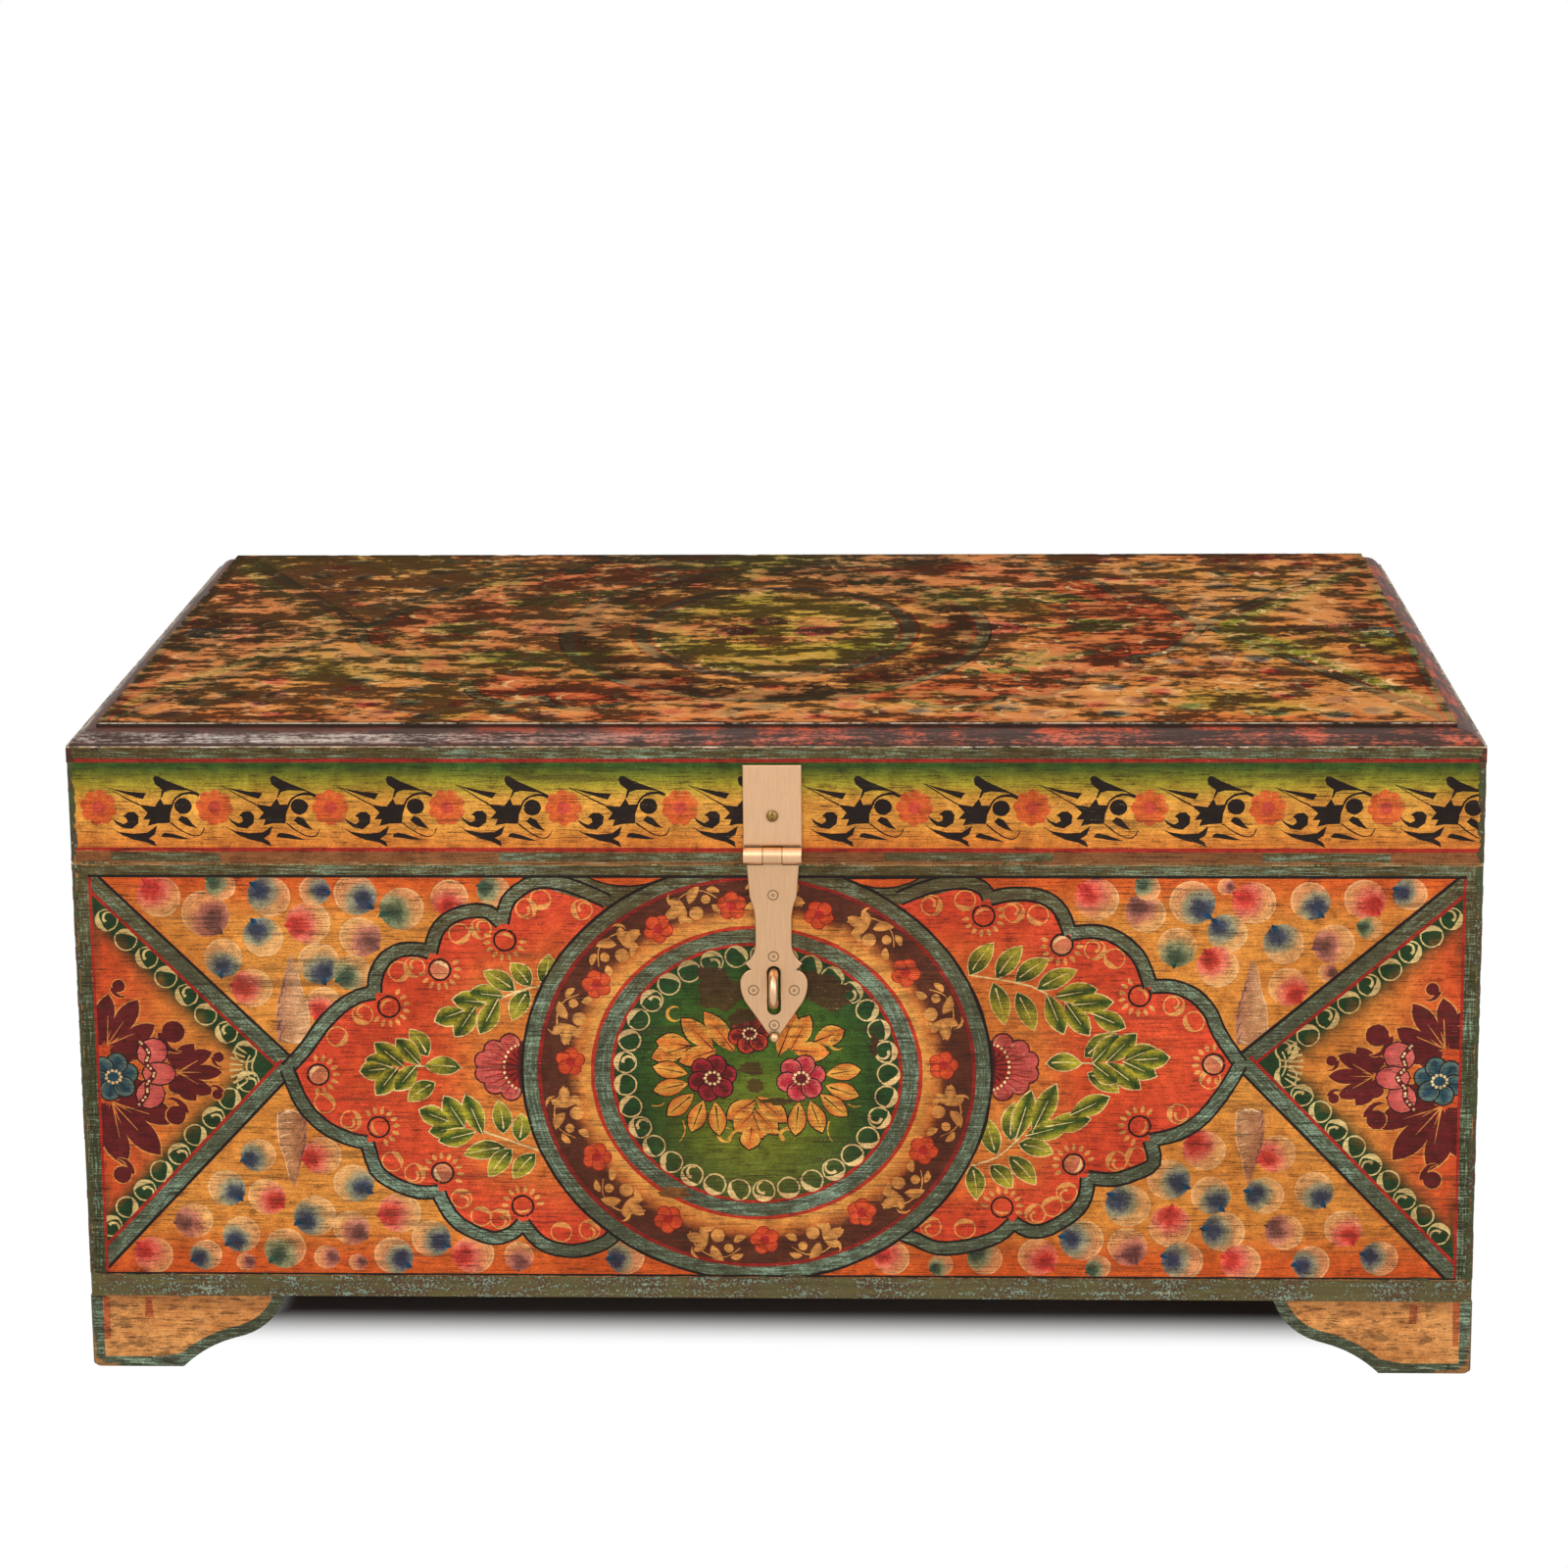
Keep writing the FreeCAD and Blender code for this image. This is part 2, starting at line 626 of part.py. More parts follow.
def chest_nodes():
    """Everything that stands still: walls, bottom, feet, staple and the fixed hinge leaves."""
    nails = corner_nails(CORNER_NAIL_COUNT, WALL_FOOT + NAIL_MARGIN, SEAM_HEIGHT - NAIL_MARGIN)
    under = bottom_nails()
    front, back, left, right = box_walls(WALL_FOOT, SEAM_HEIGHT)
    nodes = {
        "front_panel": front.cut(nails + under + [staple(STAPLE_FIT)]),
        "back_panel": back.cut(nails + under + hinge_gains(-1) + [stop_chamfer(-1)]),
        "left_end_panel": left.cut(nails + under),
        "right_end_panel": right.cut(nails + under),
        "bottom_board": bottom_board().cut(under),
        "staple": staple(),
        "chest_corner_nails": Part.makeCompound(nails),
        "bottom_nails": Part.makeCompound(under),
        "chest_hinge_screws": Part.makeCompound(hinge_screws(-1)),
    }
    for across in ("left", "right"):
        for depth in ("front", "back"):
            for piece, shape in foot(across == "right", depth == "back").items():
                nodes[f"{depth}_{across}_foot_{piece}"] = shape
    for side, middle in HINGE_PLACES.items():
        nodes[f"{side}_hinge_chest_leaf"] = hinge_leaf(middle, -1)
        nodes[f"{side}_hinge_pin"] = hinge_pin(middle)
    return nodes


def lid_nodes():
    """Everything that swings with the lid, apart from the hasp strap."""
    rail_margin = (RAIL_TOP - RAIL_FOOT) / 4
    nails = corner_nails(LID_CORNER_NAIL_COUNT, RAIL_FOOT + rail_margin, RAIL_TOP - rail_margin)
    top = lid_top_nails()
    front, back, left, right = box_walls(RAIL_FOOT, RAIL_TOP)
    planks = [plank.cut(top) for plank in lid_planks()]
    nodes = {
        "lid_front_plank": planks[0],
        "lid_middle_plank": planks[1],
        "lid_rear_plank": planks[2],
        "lid_front_rail": front.cut(nails + top + [plate_screw(SEATED_FIT)]),
        "lid_back_rail": back.cut(nails + top + hinge_gains(1) + [stop_chamfer(1)]),
        "lid_left_rail": left.cut(nails + top),
        "lid_right_rail": right.cut(nails + top),
        "lid_corner_nails": Part.makeCompound(nails),
        "lid_top_nails": Part.makeCompound(top),
        "lid_hinge_screws": Part.makeCompound(hinge_screws(1)),
        "hasp_plate": hasp_plate(),
        "hasp_plate_screw": plate_screw(),
        "hasp_pin": hasp_pin(),
    }
    for side, middle in HINGE_PLACES.items():
        nodes[f"{side}_hinge_lid_leaf"] = hinge_leaf(middle, 1)
    return nodes


def main():
    os.makedirs("parts", exist_ok=True)
    nodes = {**chest_nodes(), **lid_nodes(), "hasp_strap": hasp_strap()}
    for name, shape in nodes.items():
        shape.exportStep(f"parts/{name}.step")
        print(name, len(shape.Solids), "solids", round(shape.Volume / 1000, 2), "cm3", shape.isValid())


main()
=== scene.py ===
import math
import random
from collections import namedtuple

import bpy
from bpy.props import FloatProperty, FloatVectorProperty, IntProperty, PointerProperty
from mathutils import Matrix, Vector
from mathutils.geometry import delaunay_2d_cdt


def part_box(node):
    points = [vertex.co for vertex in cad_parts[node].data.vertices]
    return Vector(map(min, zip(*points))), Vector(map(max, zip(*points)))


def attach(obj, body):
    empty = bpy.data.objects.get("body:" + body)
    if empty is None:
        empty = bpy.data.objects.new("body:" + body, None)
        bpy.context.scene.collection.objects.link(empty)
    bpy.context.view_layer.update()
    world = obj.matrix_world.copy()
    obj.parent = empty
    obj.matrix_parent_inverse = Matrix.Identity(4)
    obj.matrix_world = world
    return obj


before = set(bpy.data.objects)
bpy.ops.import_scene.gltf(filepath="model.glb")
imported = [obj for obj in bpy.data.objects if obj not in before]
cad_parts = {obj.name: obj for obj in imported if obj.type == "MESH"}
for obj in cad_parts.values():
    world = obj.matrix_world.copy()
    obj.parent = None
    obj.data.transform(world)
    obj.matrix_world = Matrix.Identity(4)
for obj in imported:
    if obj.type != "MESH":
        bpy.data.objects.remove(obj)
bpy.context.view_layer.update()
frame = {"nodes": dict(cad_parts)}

bl_info = {
    "name": "Painted chest",
    "version": (1, 0, 0),
    "blender": (4, 5, 0),
    "location": "View3D > Sidebar > Chest",
    "description": "Folk painting, aged wood and brass for a low chest with a hinged lid",
    "category": "Object",
}

TAU = 2 * math.pi

# How a stroke's two colours share it: along it, out from its midrib, as a shell, in streaks
PLAIN, RIB, SHELL, BAND = 0.0, 1.0, 2.0, 3.0

Stroke = namedtuple("Stroke", "outline paint second local shade")


def span(node):
    """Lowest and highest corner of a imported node, in millimetres."""
    low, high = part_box(node)
    return [v * 1000 for v in low], [v * 1000 for v in high]


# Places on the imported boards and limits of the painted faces, in millimetres
(LEFT, FRONT, WALL_FOOT), (RIGHT, _, SEAM) = span("front_panel")
BACK = span("back_panel")[1][1]
LID_LOW = span("lid_front_rail")[0][2]
LID_TOP = span("lid_front_plank")[1][2]
FOOT_TALL = span("front_left_foot_face")[1][2]
FOOT_LONG = span("front_left_foot_face")[1][0] - LEFT
FACE_EDGE = 2.2
FACE_GAP = 0.2
LID_FACE = LID_TOP - 9.7
TOP_INSET = 14.2
FRONT_BOX = LEFT + FACE_EDGE, RIGHT - FACE_EDGE, WALL_FOOT + FACE_GAP, SEAM - FACE_GAP
LID_BOX = LEFT + FACE_EDGE, RIGHT - FACE_EDGE, LID_LOW + FACE_GAP, LID_FACE - FACE_GAP
TOP_BOX = LEFT + TOP_INSET, RIGHT - TOP_INSET, FRONT + TOP_INSET, BACK - TOP_INSET
PLANK_SEAMS = FRONT + 68, FRONT + 216
EDGE_ROW = 1.1

# Stop chamfer at the back of the seam: where the paint ends in front of it, behind it and along it
STOP_NEAR, STOP_FAR, STOP_RUN = BACK - 6.7, BACK + 1.5, 10.5

# Ogee of the foot brackets
FOOT_BASE, OGEE_MIDDLE, OGEE_RISE, OGEE_HOLLOW, OGEE_SWELL = 50.0, 80.0, 17.5, 2.2, 5.0
FOOT_GAP, FOOT_BORDER = 0.3, 6.4

# Noise scales of the wood grain and of the soot that follows it
WALL_GRAIN, WALL_SOOT = (50, 50, 1500), (12, 12, 230)
TOP_GRAIN, TOP_SOOT = (36, 620, 36), (30, 54, 30)
FOOT_GRAIN, FOOT_SOOT = (60, 60, 1000), (60, 60, 160)
HEAVY_GRIME = 0.8
OUTER_DEPTH = 0.003
WHITE = (1.0, 1.0, 1.0)


# Colours and sizes that can be changed

def tone(code):
    """Linear colour of a hex code."""
    parts = [int(code[i:i + 2], 16) / 255 for i in (1, 3, 5)]
    return tuple(p / 12.92 if p <= 0.04045 else ((p + 0.055) / 1.055) ** 2.4 for p in parts)


def hue(label, code, use):
    """A colour property whose default is a hex code."""
    return FloatVectorProperty(name=label, description=use, subtype="COLOR", size=3,
                               min=0.0, max=1.0, default=tone(code))


def length(label, metres, use):
    """A size property in metres."""
    return FloatProperty(name=label, description=use, unit="LENGTH", subtype="DISTANCE",
                         min=0.0, default=metres)


class ChestColours(bpy.types.PropertyGroup):
    """Pigments of the painting and colours of the bare materials."""
    ink: hue("Ink", "#1d130d", "Outlines and stencilled ornament")
    teal: hue("Teal", "#4d5845", "Frames, straps and rings")
    teal_light: hue("Light teal", "#7d9a86", "Brush streaks in the teal")
    olive: hue("Olive", "#3d4427", "Darkened teal of the frame")
    red: hue("Red", "#a12a1c", "Thin lines beside the teal")
    orange: hue("Orange", "#c5581e", "Fields along the frame")
    ochre: hue("Ochre", "#ce8e3b", "Middle of the fields")
    yellow: hue("Yellow", "#e0b24c", "Light in the lid band and the petals")
    brick: hue("Brick", "#cc4829", "Lobed fields along their outline")
    dark_green: hue("Dark green", "#1d3c1c", "Edge of the disc and of the end fields")
    green: hue("Green", "#3a5918", "Disc")
    leaf: hue("Leaf", "#2f4a16", "Leaves along their ribs")
    lime: hue("Lime", "#a8a12c", "Leaf edges and lid band")
    gold: hue("Gold", "#d59a4a", "Flower ring along the disc")
    maroon: hue("Maroon", "#5e1a1a", "Palmettes and flowers")
    brown: hue("Brown", "#532a19", "Flower ring along its edge")
    cream: hue("Cream", "#e8d39d", "Curls, dots and outlines")
    tan: hue("Tan", "#d99a5f", "Quiet curls and rays")
    pink: hue("Pink", "#cd665f", "Half flowers")
    rose: hue("Rose", "#b0293a", "Flowers")
    blue: hue("Blue", "#24495a", "End flowers")
    mauve: hue("Mauve", "#85545c", "Pearls and tall shells")
    pool_blue: hue("Blue pool", "#10405e", "Daubs")
    pool_red: hue("Red pool", "#d23a34", "Daubs")
    pool_green: hue("Green pool", "#2c5a46", "Daubs")
    pool_brown: hue("Brown pool", "#7a4c48", "Daubs")
    varnish: hue("Varnish", "#4a2418", "Moulded lid edge")
    umber: hue("Umber", "#24170d", "Grime in the grain")
    bare: hue("Bare wood", "#b27a45", "Wood where the paint is gone")
    inside: hue("Inside wood", "#8a633f", "Unpainted wood")
    brass: hue("Brass", "#dcb088", "Hasp and staple")
    hinge: hue("Hinge brass", "#8f713f", "Hinges and screws")
    iron: hue("Iron", "#2b2320", "Nails")


class ChestSizes(bpy.types.PropertyGroup):
    """Sizes of the painted ornament, and the seed of its brush strokes."""
    skin: length("Paint thickness", 0.00035, "How far the paint stands off the boards")
    strap: length("Strap width", 0.0076, "Width of the crossed straps")
    lobe: length("Lobe line width", 0.0062, "Width of the lobed outline")
    frame: length("Frame width", 0.0068, "Width of the frame round a panel")
    curl: length("Curl radius", 0.0064, "Radius of the cream curls")
    daub: length("Daub radius", 0.0096, "Radius of the shell daubs")
    pitch: length("Stencil pitch", 0.0628, "Distance between motifs on the lid")
    grid: length("Ground mesh", 0.007, "Mesh size of the painted grounds")
    seed: IntProperty(name="Hand", description="Seed of the brush wobble", default=7)


class ChestStage(bpy.types.PropertyGroup):
    """Camera and light."""
    lens: FloatProperty(name="Lens", description="Focal length", unit="CAMERA", default=85.44)
    place: FloatVectorProperty(name="Camera place", description="Where the camera stands",
                               subtype="TRANSLATION", unit="LENGTH",
                               default=(0.0750, -2.1446, 0.8701))
    turn: FloatVectorProperty(name="Camera turn", description="Yaw, pitch and roll",
                              subtype="EULER", unit="ROTATION",
                              default=[math.radians(a) for a in (2.001, 11.030, -0.519)])
    shift: FloatVectorProperty(name="Lens shift", description="Shift across and up, in picture widths",
                               size=2, default=(0.0, -0.1875))
    key: FloatProperty(name="Key light", description="Power of the key", unit="POWER", default=62)
    fill: FloatProperty(name="Fill light", description="Power of the fill", unit="POWER", default=30)
    top: FloatProperty(name="Top light", description="Power of the top light", unit="POWER", default=34)
    sky: FloatProperty(name="Sky", description="Strength of the even light", min=0.0, default=0.42)


def colours():
    """The pigments by name, as plain tuples."""
    group = bpy.context.scene.chest_colours
    return {name: tuple(getattr(group, name)) for name in ChestColours.__annotations__}


def size(name):
    """A size of the ornament in millimetres."""
    return getattr(bpy.context.scene.chest_sizes, name) * 1000


# Plane drawing

def blend(a, b, share):
    """A colour between two."""
    return tuple(x + (y - x) * share for x, y in zip(a, b))


def smooth(low, high, value):
    """Smooth step from 0 at low to 1 at high."""
    t = max(0.0, min(1.0, (value - low) / (high - low)))
    return t * t * (3 - 2 * t)


def reach(p, a, b):
    """Distance of a point from a segment."""
    dx, dy = b[0] - a[0], b[1] - a[1]
    t = max(0.0, min(1.0, ((p[0] - a[0]) * dx + (p[1] - a[1]) * dy) / (dx * dx + dy * dy)))
    return math.hypot(p[0] - a[0] - t * dx, p[1] - a[1] - t * dy)


def within(p, polygon):
    """Whether a point lies in a polygon."""
    inside = False
    for a, b in zip(polygon, polygon[1:] + polygon[:1]):
        if (a[1] > p[1]) != (b[1] > p[1]):
            if p[0] < a[0] + (b[0] - a[0]) * (p[1] - a[1]) / (b[1] - a[1]):
                inside = not inside
    return inside


def turned(points):
    """The same outline, running anticlockwise."""
    area = sum(a[0] * b[1] - a[1] * b[0] for a, b in zip(points, points[1:] + points[:1]))
    return points if area > 0 else points[::-1]


def rectangle(left, right, low, high):
    """Corners of an upright rectangle."""
    return [(left, low), (right, low), (right, high), (left, high)]


def polar(angle, across, up=None):
    """A point on a circle, or on an ellipse, round the origin."""
    return across * math.cos(angle), (across if up is None else up) * math.sin(angle)


def oval(x, y, rx, ry, count, start=0.0, sweep=TAU):
    """Points round an ellipse, or along a part of it."""
    steps = count if sweep == TAU else count - 1
    angles = [start + sweep * i / steps for i in range(count)]
    return [(x + rx * math.cos(a), y + ry * math.sin(a)) for a in angles]


def bow(a, b, rise, count=8):
    """Points along a curve from a to b that rises to its left."""
    dx, dy = b[0] - a[0], b[1] - a[1]
    far = math.hypot(dx, dy)
    nx, ny = -dy / far, dx / far
    points = []
    for i in range(count):
        t = i / (count - 1)
        h = 4 * rise * t * (1 - t)
        points.append((a[0] + dx * t + nx * h, a[1] + dy * t + ny * h))
    return points


def flowing(points, parts=3):
    """A smooth curve through points."""
    line, last = [], len(points) - 1
    for i in range(last):
        four = points[max(0, i - 1)], points[i], points[i + 1], points[min(last, i + 2)]
        for k in range(parts):
            t = k / parts
            line.append(tuple(0.5 * (2 * q + (r - p) * t + (2 * p - 5 * q + 4 * r - s) * t * t
                                     + (3 * q - p - 3 * r + s) * t ** 3) for p, q, r, s in zip(*four)))
    return line + [points[-1]]


def ribbon(path, start, end=None):
    """Outline of a brush line along a path; its width runs from start to end."""
    end = start if end is None else end
    near, far = [], []
    for i, p in enumerate(path):
        a, b = path[max(0, i - 1)], path[min(len(path) - 1, i + 1)]
        dx, dy = b[0] - a[0], b[1] - a[1]
        run = math.hypot(dx, dy) or 1.0
        half = (start + (end - start) * i / (len(path) - 1)) / 2
        near.append((p[0] - dy / run * half, p[1] + dx / run * half))
        far.append((p[0] + dy / run * half, p[1] - dx / run * half))
    return near + far[::-1]


def normal(a, b, way):
    """Unit normal of the line from a to b, on the side that way points to."""
    dx, dy = b[0] - a[0], b[1] - a[1]
    far = math.hypot(dx, dy)
    side = math.copysign(1 / far, dx * way[1] - dy * way[0])
    return -dy * side, dx * side


def along(a, b, half=1.0, whole=None):
    """Brush coordinates on a straight stroke: share of its run, and distance across."""
    dx, dy = b[0] - a[0], b[1] - a[1]
    far = math.hypot(dx, dy) or 1.0
    run = far * (whole or far)

    def local(px, py, mx, my):
        x, y = px - a[0], py - a[1]
        return (x * dx + y * dy) / run, (y * dx - x * dy) / far / half

    return local


def around(x, y, rx, ry):
    """Brush coordinates on a ring: millimetres round it and across it."""
    mean = (rx + ry) / 2

    def local(px, py, mx, my):
        middle = math.atan2((my - y) / ry, (mx - x) / rx)
        angle = math.atan2((py - y) / ry, (px - x) / rx) - middle
        angle = (angle + math.pi) % TAU - math.pi
        return (middle + angle) * mean, math.hypot((px - x) / rx, (py - y) / ry) * mean

    return local


def pick(piece):
    """Makes a piece the only one selected and active."""
    bpy.ops.object.select_all(action="DESELECT")
    piece.select_set(True)
    bpy.context.view_layer.objects.active = piece


class Canvas:
    """Brush strokes laid one over another on a flat face, in millimetres."""

    def __init__(self, hand):
        self.rng = random.Random(bpy.context.scene.chest_sizes.seed * 1000 + hand)
        self.strokes = []
        self.wear = lambda x, y: 0.0

    def lay(self, points, paint, second=None, kind=PLAIN, cover=1.0, local=None, wobble=0.14):
        """A stroke with its outline, its two colours and its brush coordinates."""
        shaken = [(x + self.rng.uniform(-wobble, wobble), y + self.rng.uniform(-wobble, wobble))
                  for x, y in points]
        change = self.rng.uniform(0.92, 1.07)
        tint = tuple(min(1.0, v * change) for v in paint)
        self.strokes.append(Stroke(turned(shaken), (*tint, cover), (*(second or tint), kind), local, None))

    def band(self, points, col, a, b, paint="teal", **more):
        """A teal stroke with streaks that run from a to b."""
        self.lay(points, col[paint], second=col["teal_light"], kind=BAND,
                 local=along(a, b, whole=1.0), **more)

    def ground(self, points, shade):
        """A field whose colour is worked out at each point."""
        self.strokes.append(Stroke(turned(points), (0, 0, 0, 0), (0, 0, 0, PLAIN), None, shade))

    def chip(self, points):
        """A place where the paint has gone."""
        self.strokes.append(Stroke(turned(points), None, None, None, None))

    def extent(self):
        """Left, right, low and high limits of the face."""
        xs, ys = zip(*self.strokes[0].outline)
        return min(xs), max(xs), min(ys), max(ys)

    def grid(self, spacing):
        """Points spread over the face, with rows beside the edges of a rectangle."""
        left, right, low, high = self.extent()
        points = []
        for i in range(1, int((right - left) / spacing)):
            for j in range(1, int((high - low) / spacing)):
                points.append((left + (i + self.rng.uniform(-0.2, 0.2)) * spacing,
                               low + (j + self.rng.uniform(-0.2, 0.2)) * spacing))
        if len(self.strokes[0].outline) == 4:
            for i in range(int((right - left) / spacing)):
                points += [(left + EDGE_ROW + i * spacing, y) for y in (low + EDGE_ROW, high - EDGE_ROW)]
            for i in range(int((high - low) / spacing)):
                points += [(x, low + EDGE_ROW + i * spacing) for x in (left + EDGE_ROW, right - EDGE_ROW)]
        return points

    def topmost(self, spot, owner):
        """The stroke on top at a spot and the shade beneath it, or nothing where the paint is gone."""
        found = [self.strokes[i] for i in sorted(owner)[::-1] if within(spot, self.strokes[i].outline)]
        shade = next((stroke.shade for stroke in found if stroke.shade), None)
        return (found[0], shade) if shade and found[0].paint else None

    def mesh(self, name, place, spacing):
        """The face cut along every outline, with the colours of the topmost strokes."""
        corners, polygons = [], []
        for stroke in self.strokes:
            polygons.append(list(range(len(corners), len(corners) + len(stroke.outline))))
            corners += stroke.outline
        corners = [Vector(p) for p in corners + self.grid(spacing)]
        points, _, faces, _, _, owners = delaunay_2d_cdt(corners, [], polygons, 1, 1e-4, True)
        left, right, low, high = self.extent()
        layers = {"paint": [], "second": [], "ground": []}
        maps = {"brush": [], "face": []}
        kept = []
        for face, owner in zip(faces, owners):
            mx, my = (sum(points[i][k] for i in face) / 3 for k in (0, 1))
            found = self.topmost((mx, my), owner)
            if not found:
                continue
            stroke, shade = found
            kept.append(face)
            for x, y in (points[i] for i in face):
                layers["paint"] += stroke.paint
                layers["second"] += stroke.second
                layers["ground"] += (*shade(x, y), self.wear(x, y))
                maps["brush"] += stroke.local(x, y, mx, my) if stroke.local else (0.0, 0.0)
                maps["face"] += ((x - left) / (right - left), (y - low) / (high - low))
        mesh = bpy.data.meshes.new(name)
        mesh.from_pydata([place(p.x, p.y) for p in points], [], kept)
        for label, values in layers.items():
            mesh.attributes.new(label, "FLOAT_COLOR", "CORNER").data.foreach_set("color", values)
        for label, values in maps.items():
            mesh.uv_layers.new(name=label).data.foreach_set("uv", values)
        return mesh

    def piece(self, name, place, spacing, body, slot, finish):
        """Cuts the strokes into triangles and gives the sheet of paint its thickness."""
        sheet = bpy.data.objects.new(name, self.mesh(name, place, spacing))
        bpy.context.scene.collection.objects.link(sheet)
        pick(sheet)
        bpy.ops.object.mode_set(mode="EDIT")
        bpy.ops.mesh.select_all(action="SELECT")
        bpy.ops.mesh.delete_loose()
        bpy.ops.object.mode_set(mode="OBJECT")
        bpy.ops.object.modifier_add(type="SOLIDIFY")
        layer = sheet.modifiers[-1]
        layer.thickness = bpy.context.scene.chest_sizes.skin
        layer.offset = -1
        bpy.ops.object.modifier_apply(modifier=layer.name)
        sheet.data.materials.clear()
        sheet.data.materials.append(finish)
        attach(sheet, body)


class Pen:
    """A place, turn and size on a canvas at which a motif is drawn, mirrored on the right side."""

    def __init__(self, canvas, x, y, turn=0.0, scale=1.0, mirror=False):
        self.canvas, self.x, self.y = canvas, x, y
        self.turn, self.scale, self.mirror = turn, scale, mirror

    def to(self, p):
        """A point of the motif on the canvas."""
        c, s = math.cos(self.turn) * self.scale, math.sin(self.turn) * self.scale
        x = p[0] * c - p[1] * s
        return self.x + (-x if self.mirror else x), self.y + p[0] * s + p[1] * c

    def at(self, x, y, turn=0.0):
        """A pen at a place of this motif."""
        return Pen(self.canvas, *self.to((x, y)), self.turn + turn, self.scale, self.mirror)

    def shape(self, points, paint, **more):
        """A closed stroke through points of the motif."""
        self.canvas.lay([self.to(p) for p in points], paint, **more)

    def dot(self, x, y, r, paint, second=None, tall=1.0, count=12, rim=None, edge=0.7, cover=1.0):
        """A round touch of the brush, darker or lighter towards its edge."""
        if rim:
            self.dot(x, y, r + edge, rim, tall=(r * tall + edge) / (r + edge), count=count)
        a, b = self.to((x, y)), self.to((x + r, y))
        self.shape(oval(x, y, r, r * tall, count), paint, second=second, cover=cover,
                   local=along(a, b, r * tall * self.scale) if second else None)

    def leaf(self, base, tip, wide, paint, second=None, bend=0.0, rim=None, edge=0.7, rib=None,
             full=0.9, count=6, kind=RIB):
        """A pointed leaf or petal with a rim and a midrib."""
        dx, dy = tip[0] - base[0], tip[1] - base[1]
        far = math.hypot(dx, dy)
        ux, uy = dx / far, dy / far
        if rim:
            grown = edge * 1.6
            self.leaf((base[0] - ux * edge, base[1] - uy * edge),
                      (tip[0] + ux * grown, tip[1] + uy * grown), wide + 2 * edge, rim,
                      bend=bend, full=full, count=count)
        line = bow(base, tip, bend, count + 2)
        near, far_side = [], []
        for i, p in enumerate(line[1:-1], 1):
            t = i / (count + 1)
            half = wide / 2 * math.sin(math.pi * t ** full) ** 0.8
            near.append((p[0] - uy * half, p[1] + ux * half))
            far_side.append((p[0] + uy * half, p[1] - ux * half))
        self.shape([base] + near + [tip] + far_side[::-1], paint, second=second, kind=kind,
                   local=along(self.to(base), self.to(tip), wide / 2 * self.scale))
        if rib:
            self.line(line[1:-1], 0.8, 0.25, rib)

    def line(self, path, start, end, paint):
        """A brush line that swells or tapers."""
        self.shape(ribbon(path, start, end), paint)

    def crescent(self, x, y, r, thick, start, sweep, paint, count=12):
        """An open ring, thick in the middle of its sweep."""
        outer = oval(x, y, r, r, count, start, sweep)
        inner = []
        for i in range(1, count - 1):
            a = start + sweep * i / (count - 1)
            q = r - thick * math.sin(math.pi * i / (count - 1))
            inner.append((x + q * math.cos(a), y + q * math.sin(a)))
        self.shape(outer + inner[::-1], paint)


# Motifs

def curl(pen, paint, rolled):
    """A curl of unit radius: a thin ring with one swollen side, or a spiral that rolls into it."""
    pen.crescent(0, 0, 1.0, 0.52, 1.75, 2.8, paint, count=11)
    pen.line(oval(0, 0, 0.93, 0.93, 13, -1.75, 3.6), 0.14, 0.12, paint)
    if rolled:
        pen.line(oval(0.26, 0.14, 0.50, 0.48, 9, 0.3, 3.4), 0.11, 0.28, paint)


def berry(pen, r, pearl, col):
    """A berry hung in a cusp, with a fan of short gold strokes along x."""
    gold = blend(col["gold"], col["tan"], 0.5)
    for i in range(9):
        a = math.radians(-96 + 192 * i / 8)
        pen.leaf(polar(a, r + 1.6), polar(a, r + 6.2), 2.3, gold, count=3)
    pen.line(oval(0, 0, r, r, 18, math.pi, 6.2), 1.2, 1.2, col["ink"])
    if pearl:
        dusk, glow = blend(col["tan"], col["mauve"], 0.45), blend(col["tan"], col["cream"], 0.3)
        pen.dot(0, 0, r - 0.6, dusk, second=glow, cover=0.62)
        pen.crescent(0, 0, r * 0.80, r * 0.34, 1.2, 2.4, blend(col["cream"], col["tan"], 0.2), count=9)
    else:
        pen.crescent(0, 0, r * 0.74, r * 0.30, 1.7, 2.6, gold, count=8)


def blossom(pen, r, paint, second, col, middle, dots):
    """A round flower of six lapping petals with dark veins and a ring of dots."""
    petals = 6
    for i in range(petals):
        a = TAU * (i + 0.25) / petals
        pen.dot(*polar(a, r * 0.60), r * 0.41, second, rim=col["ink"], edge=0.75, count=13)
        pen.leaf((0, 0), polar(a, r * 0.912), r * 0.58, paint, second=blend(paint, second, 0.6), full=1.2)
    for i in range(petals * 2):
        a = TAU * (i + 0.5) / petals / 2
        pen.line([polar(a, r * 0.3), polar(a, r * 0.66)], 0.7, 0.3, blend(paint, col["ink"], 0.6))
    pen.dot(0, 0, r * 0.25, col[middle])
    for i in range(dots):
        pen.dot(*polar(TAU * i / dots, r * 0.30, r * 0.26), r * 0.068, col["cream"], count=7)


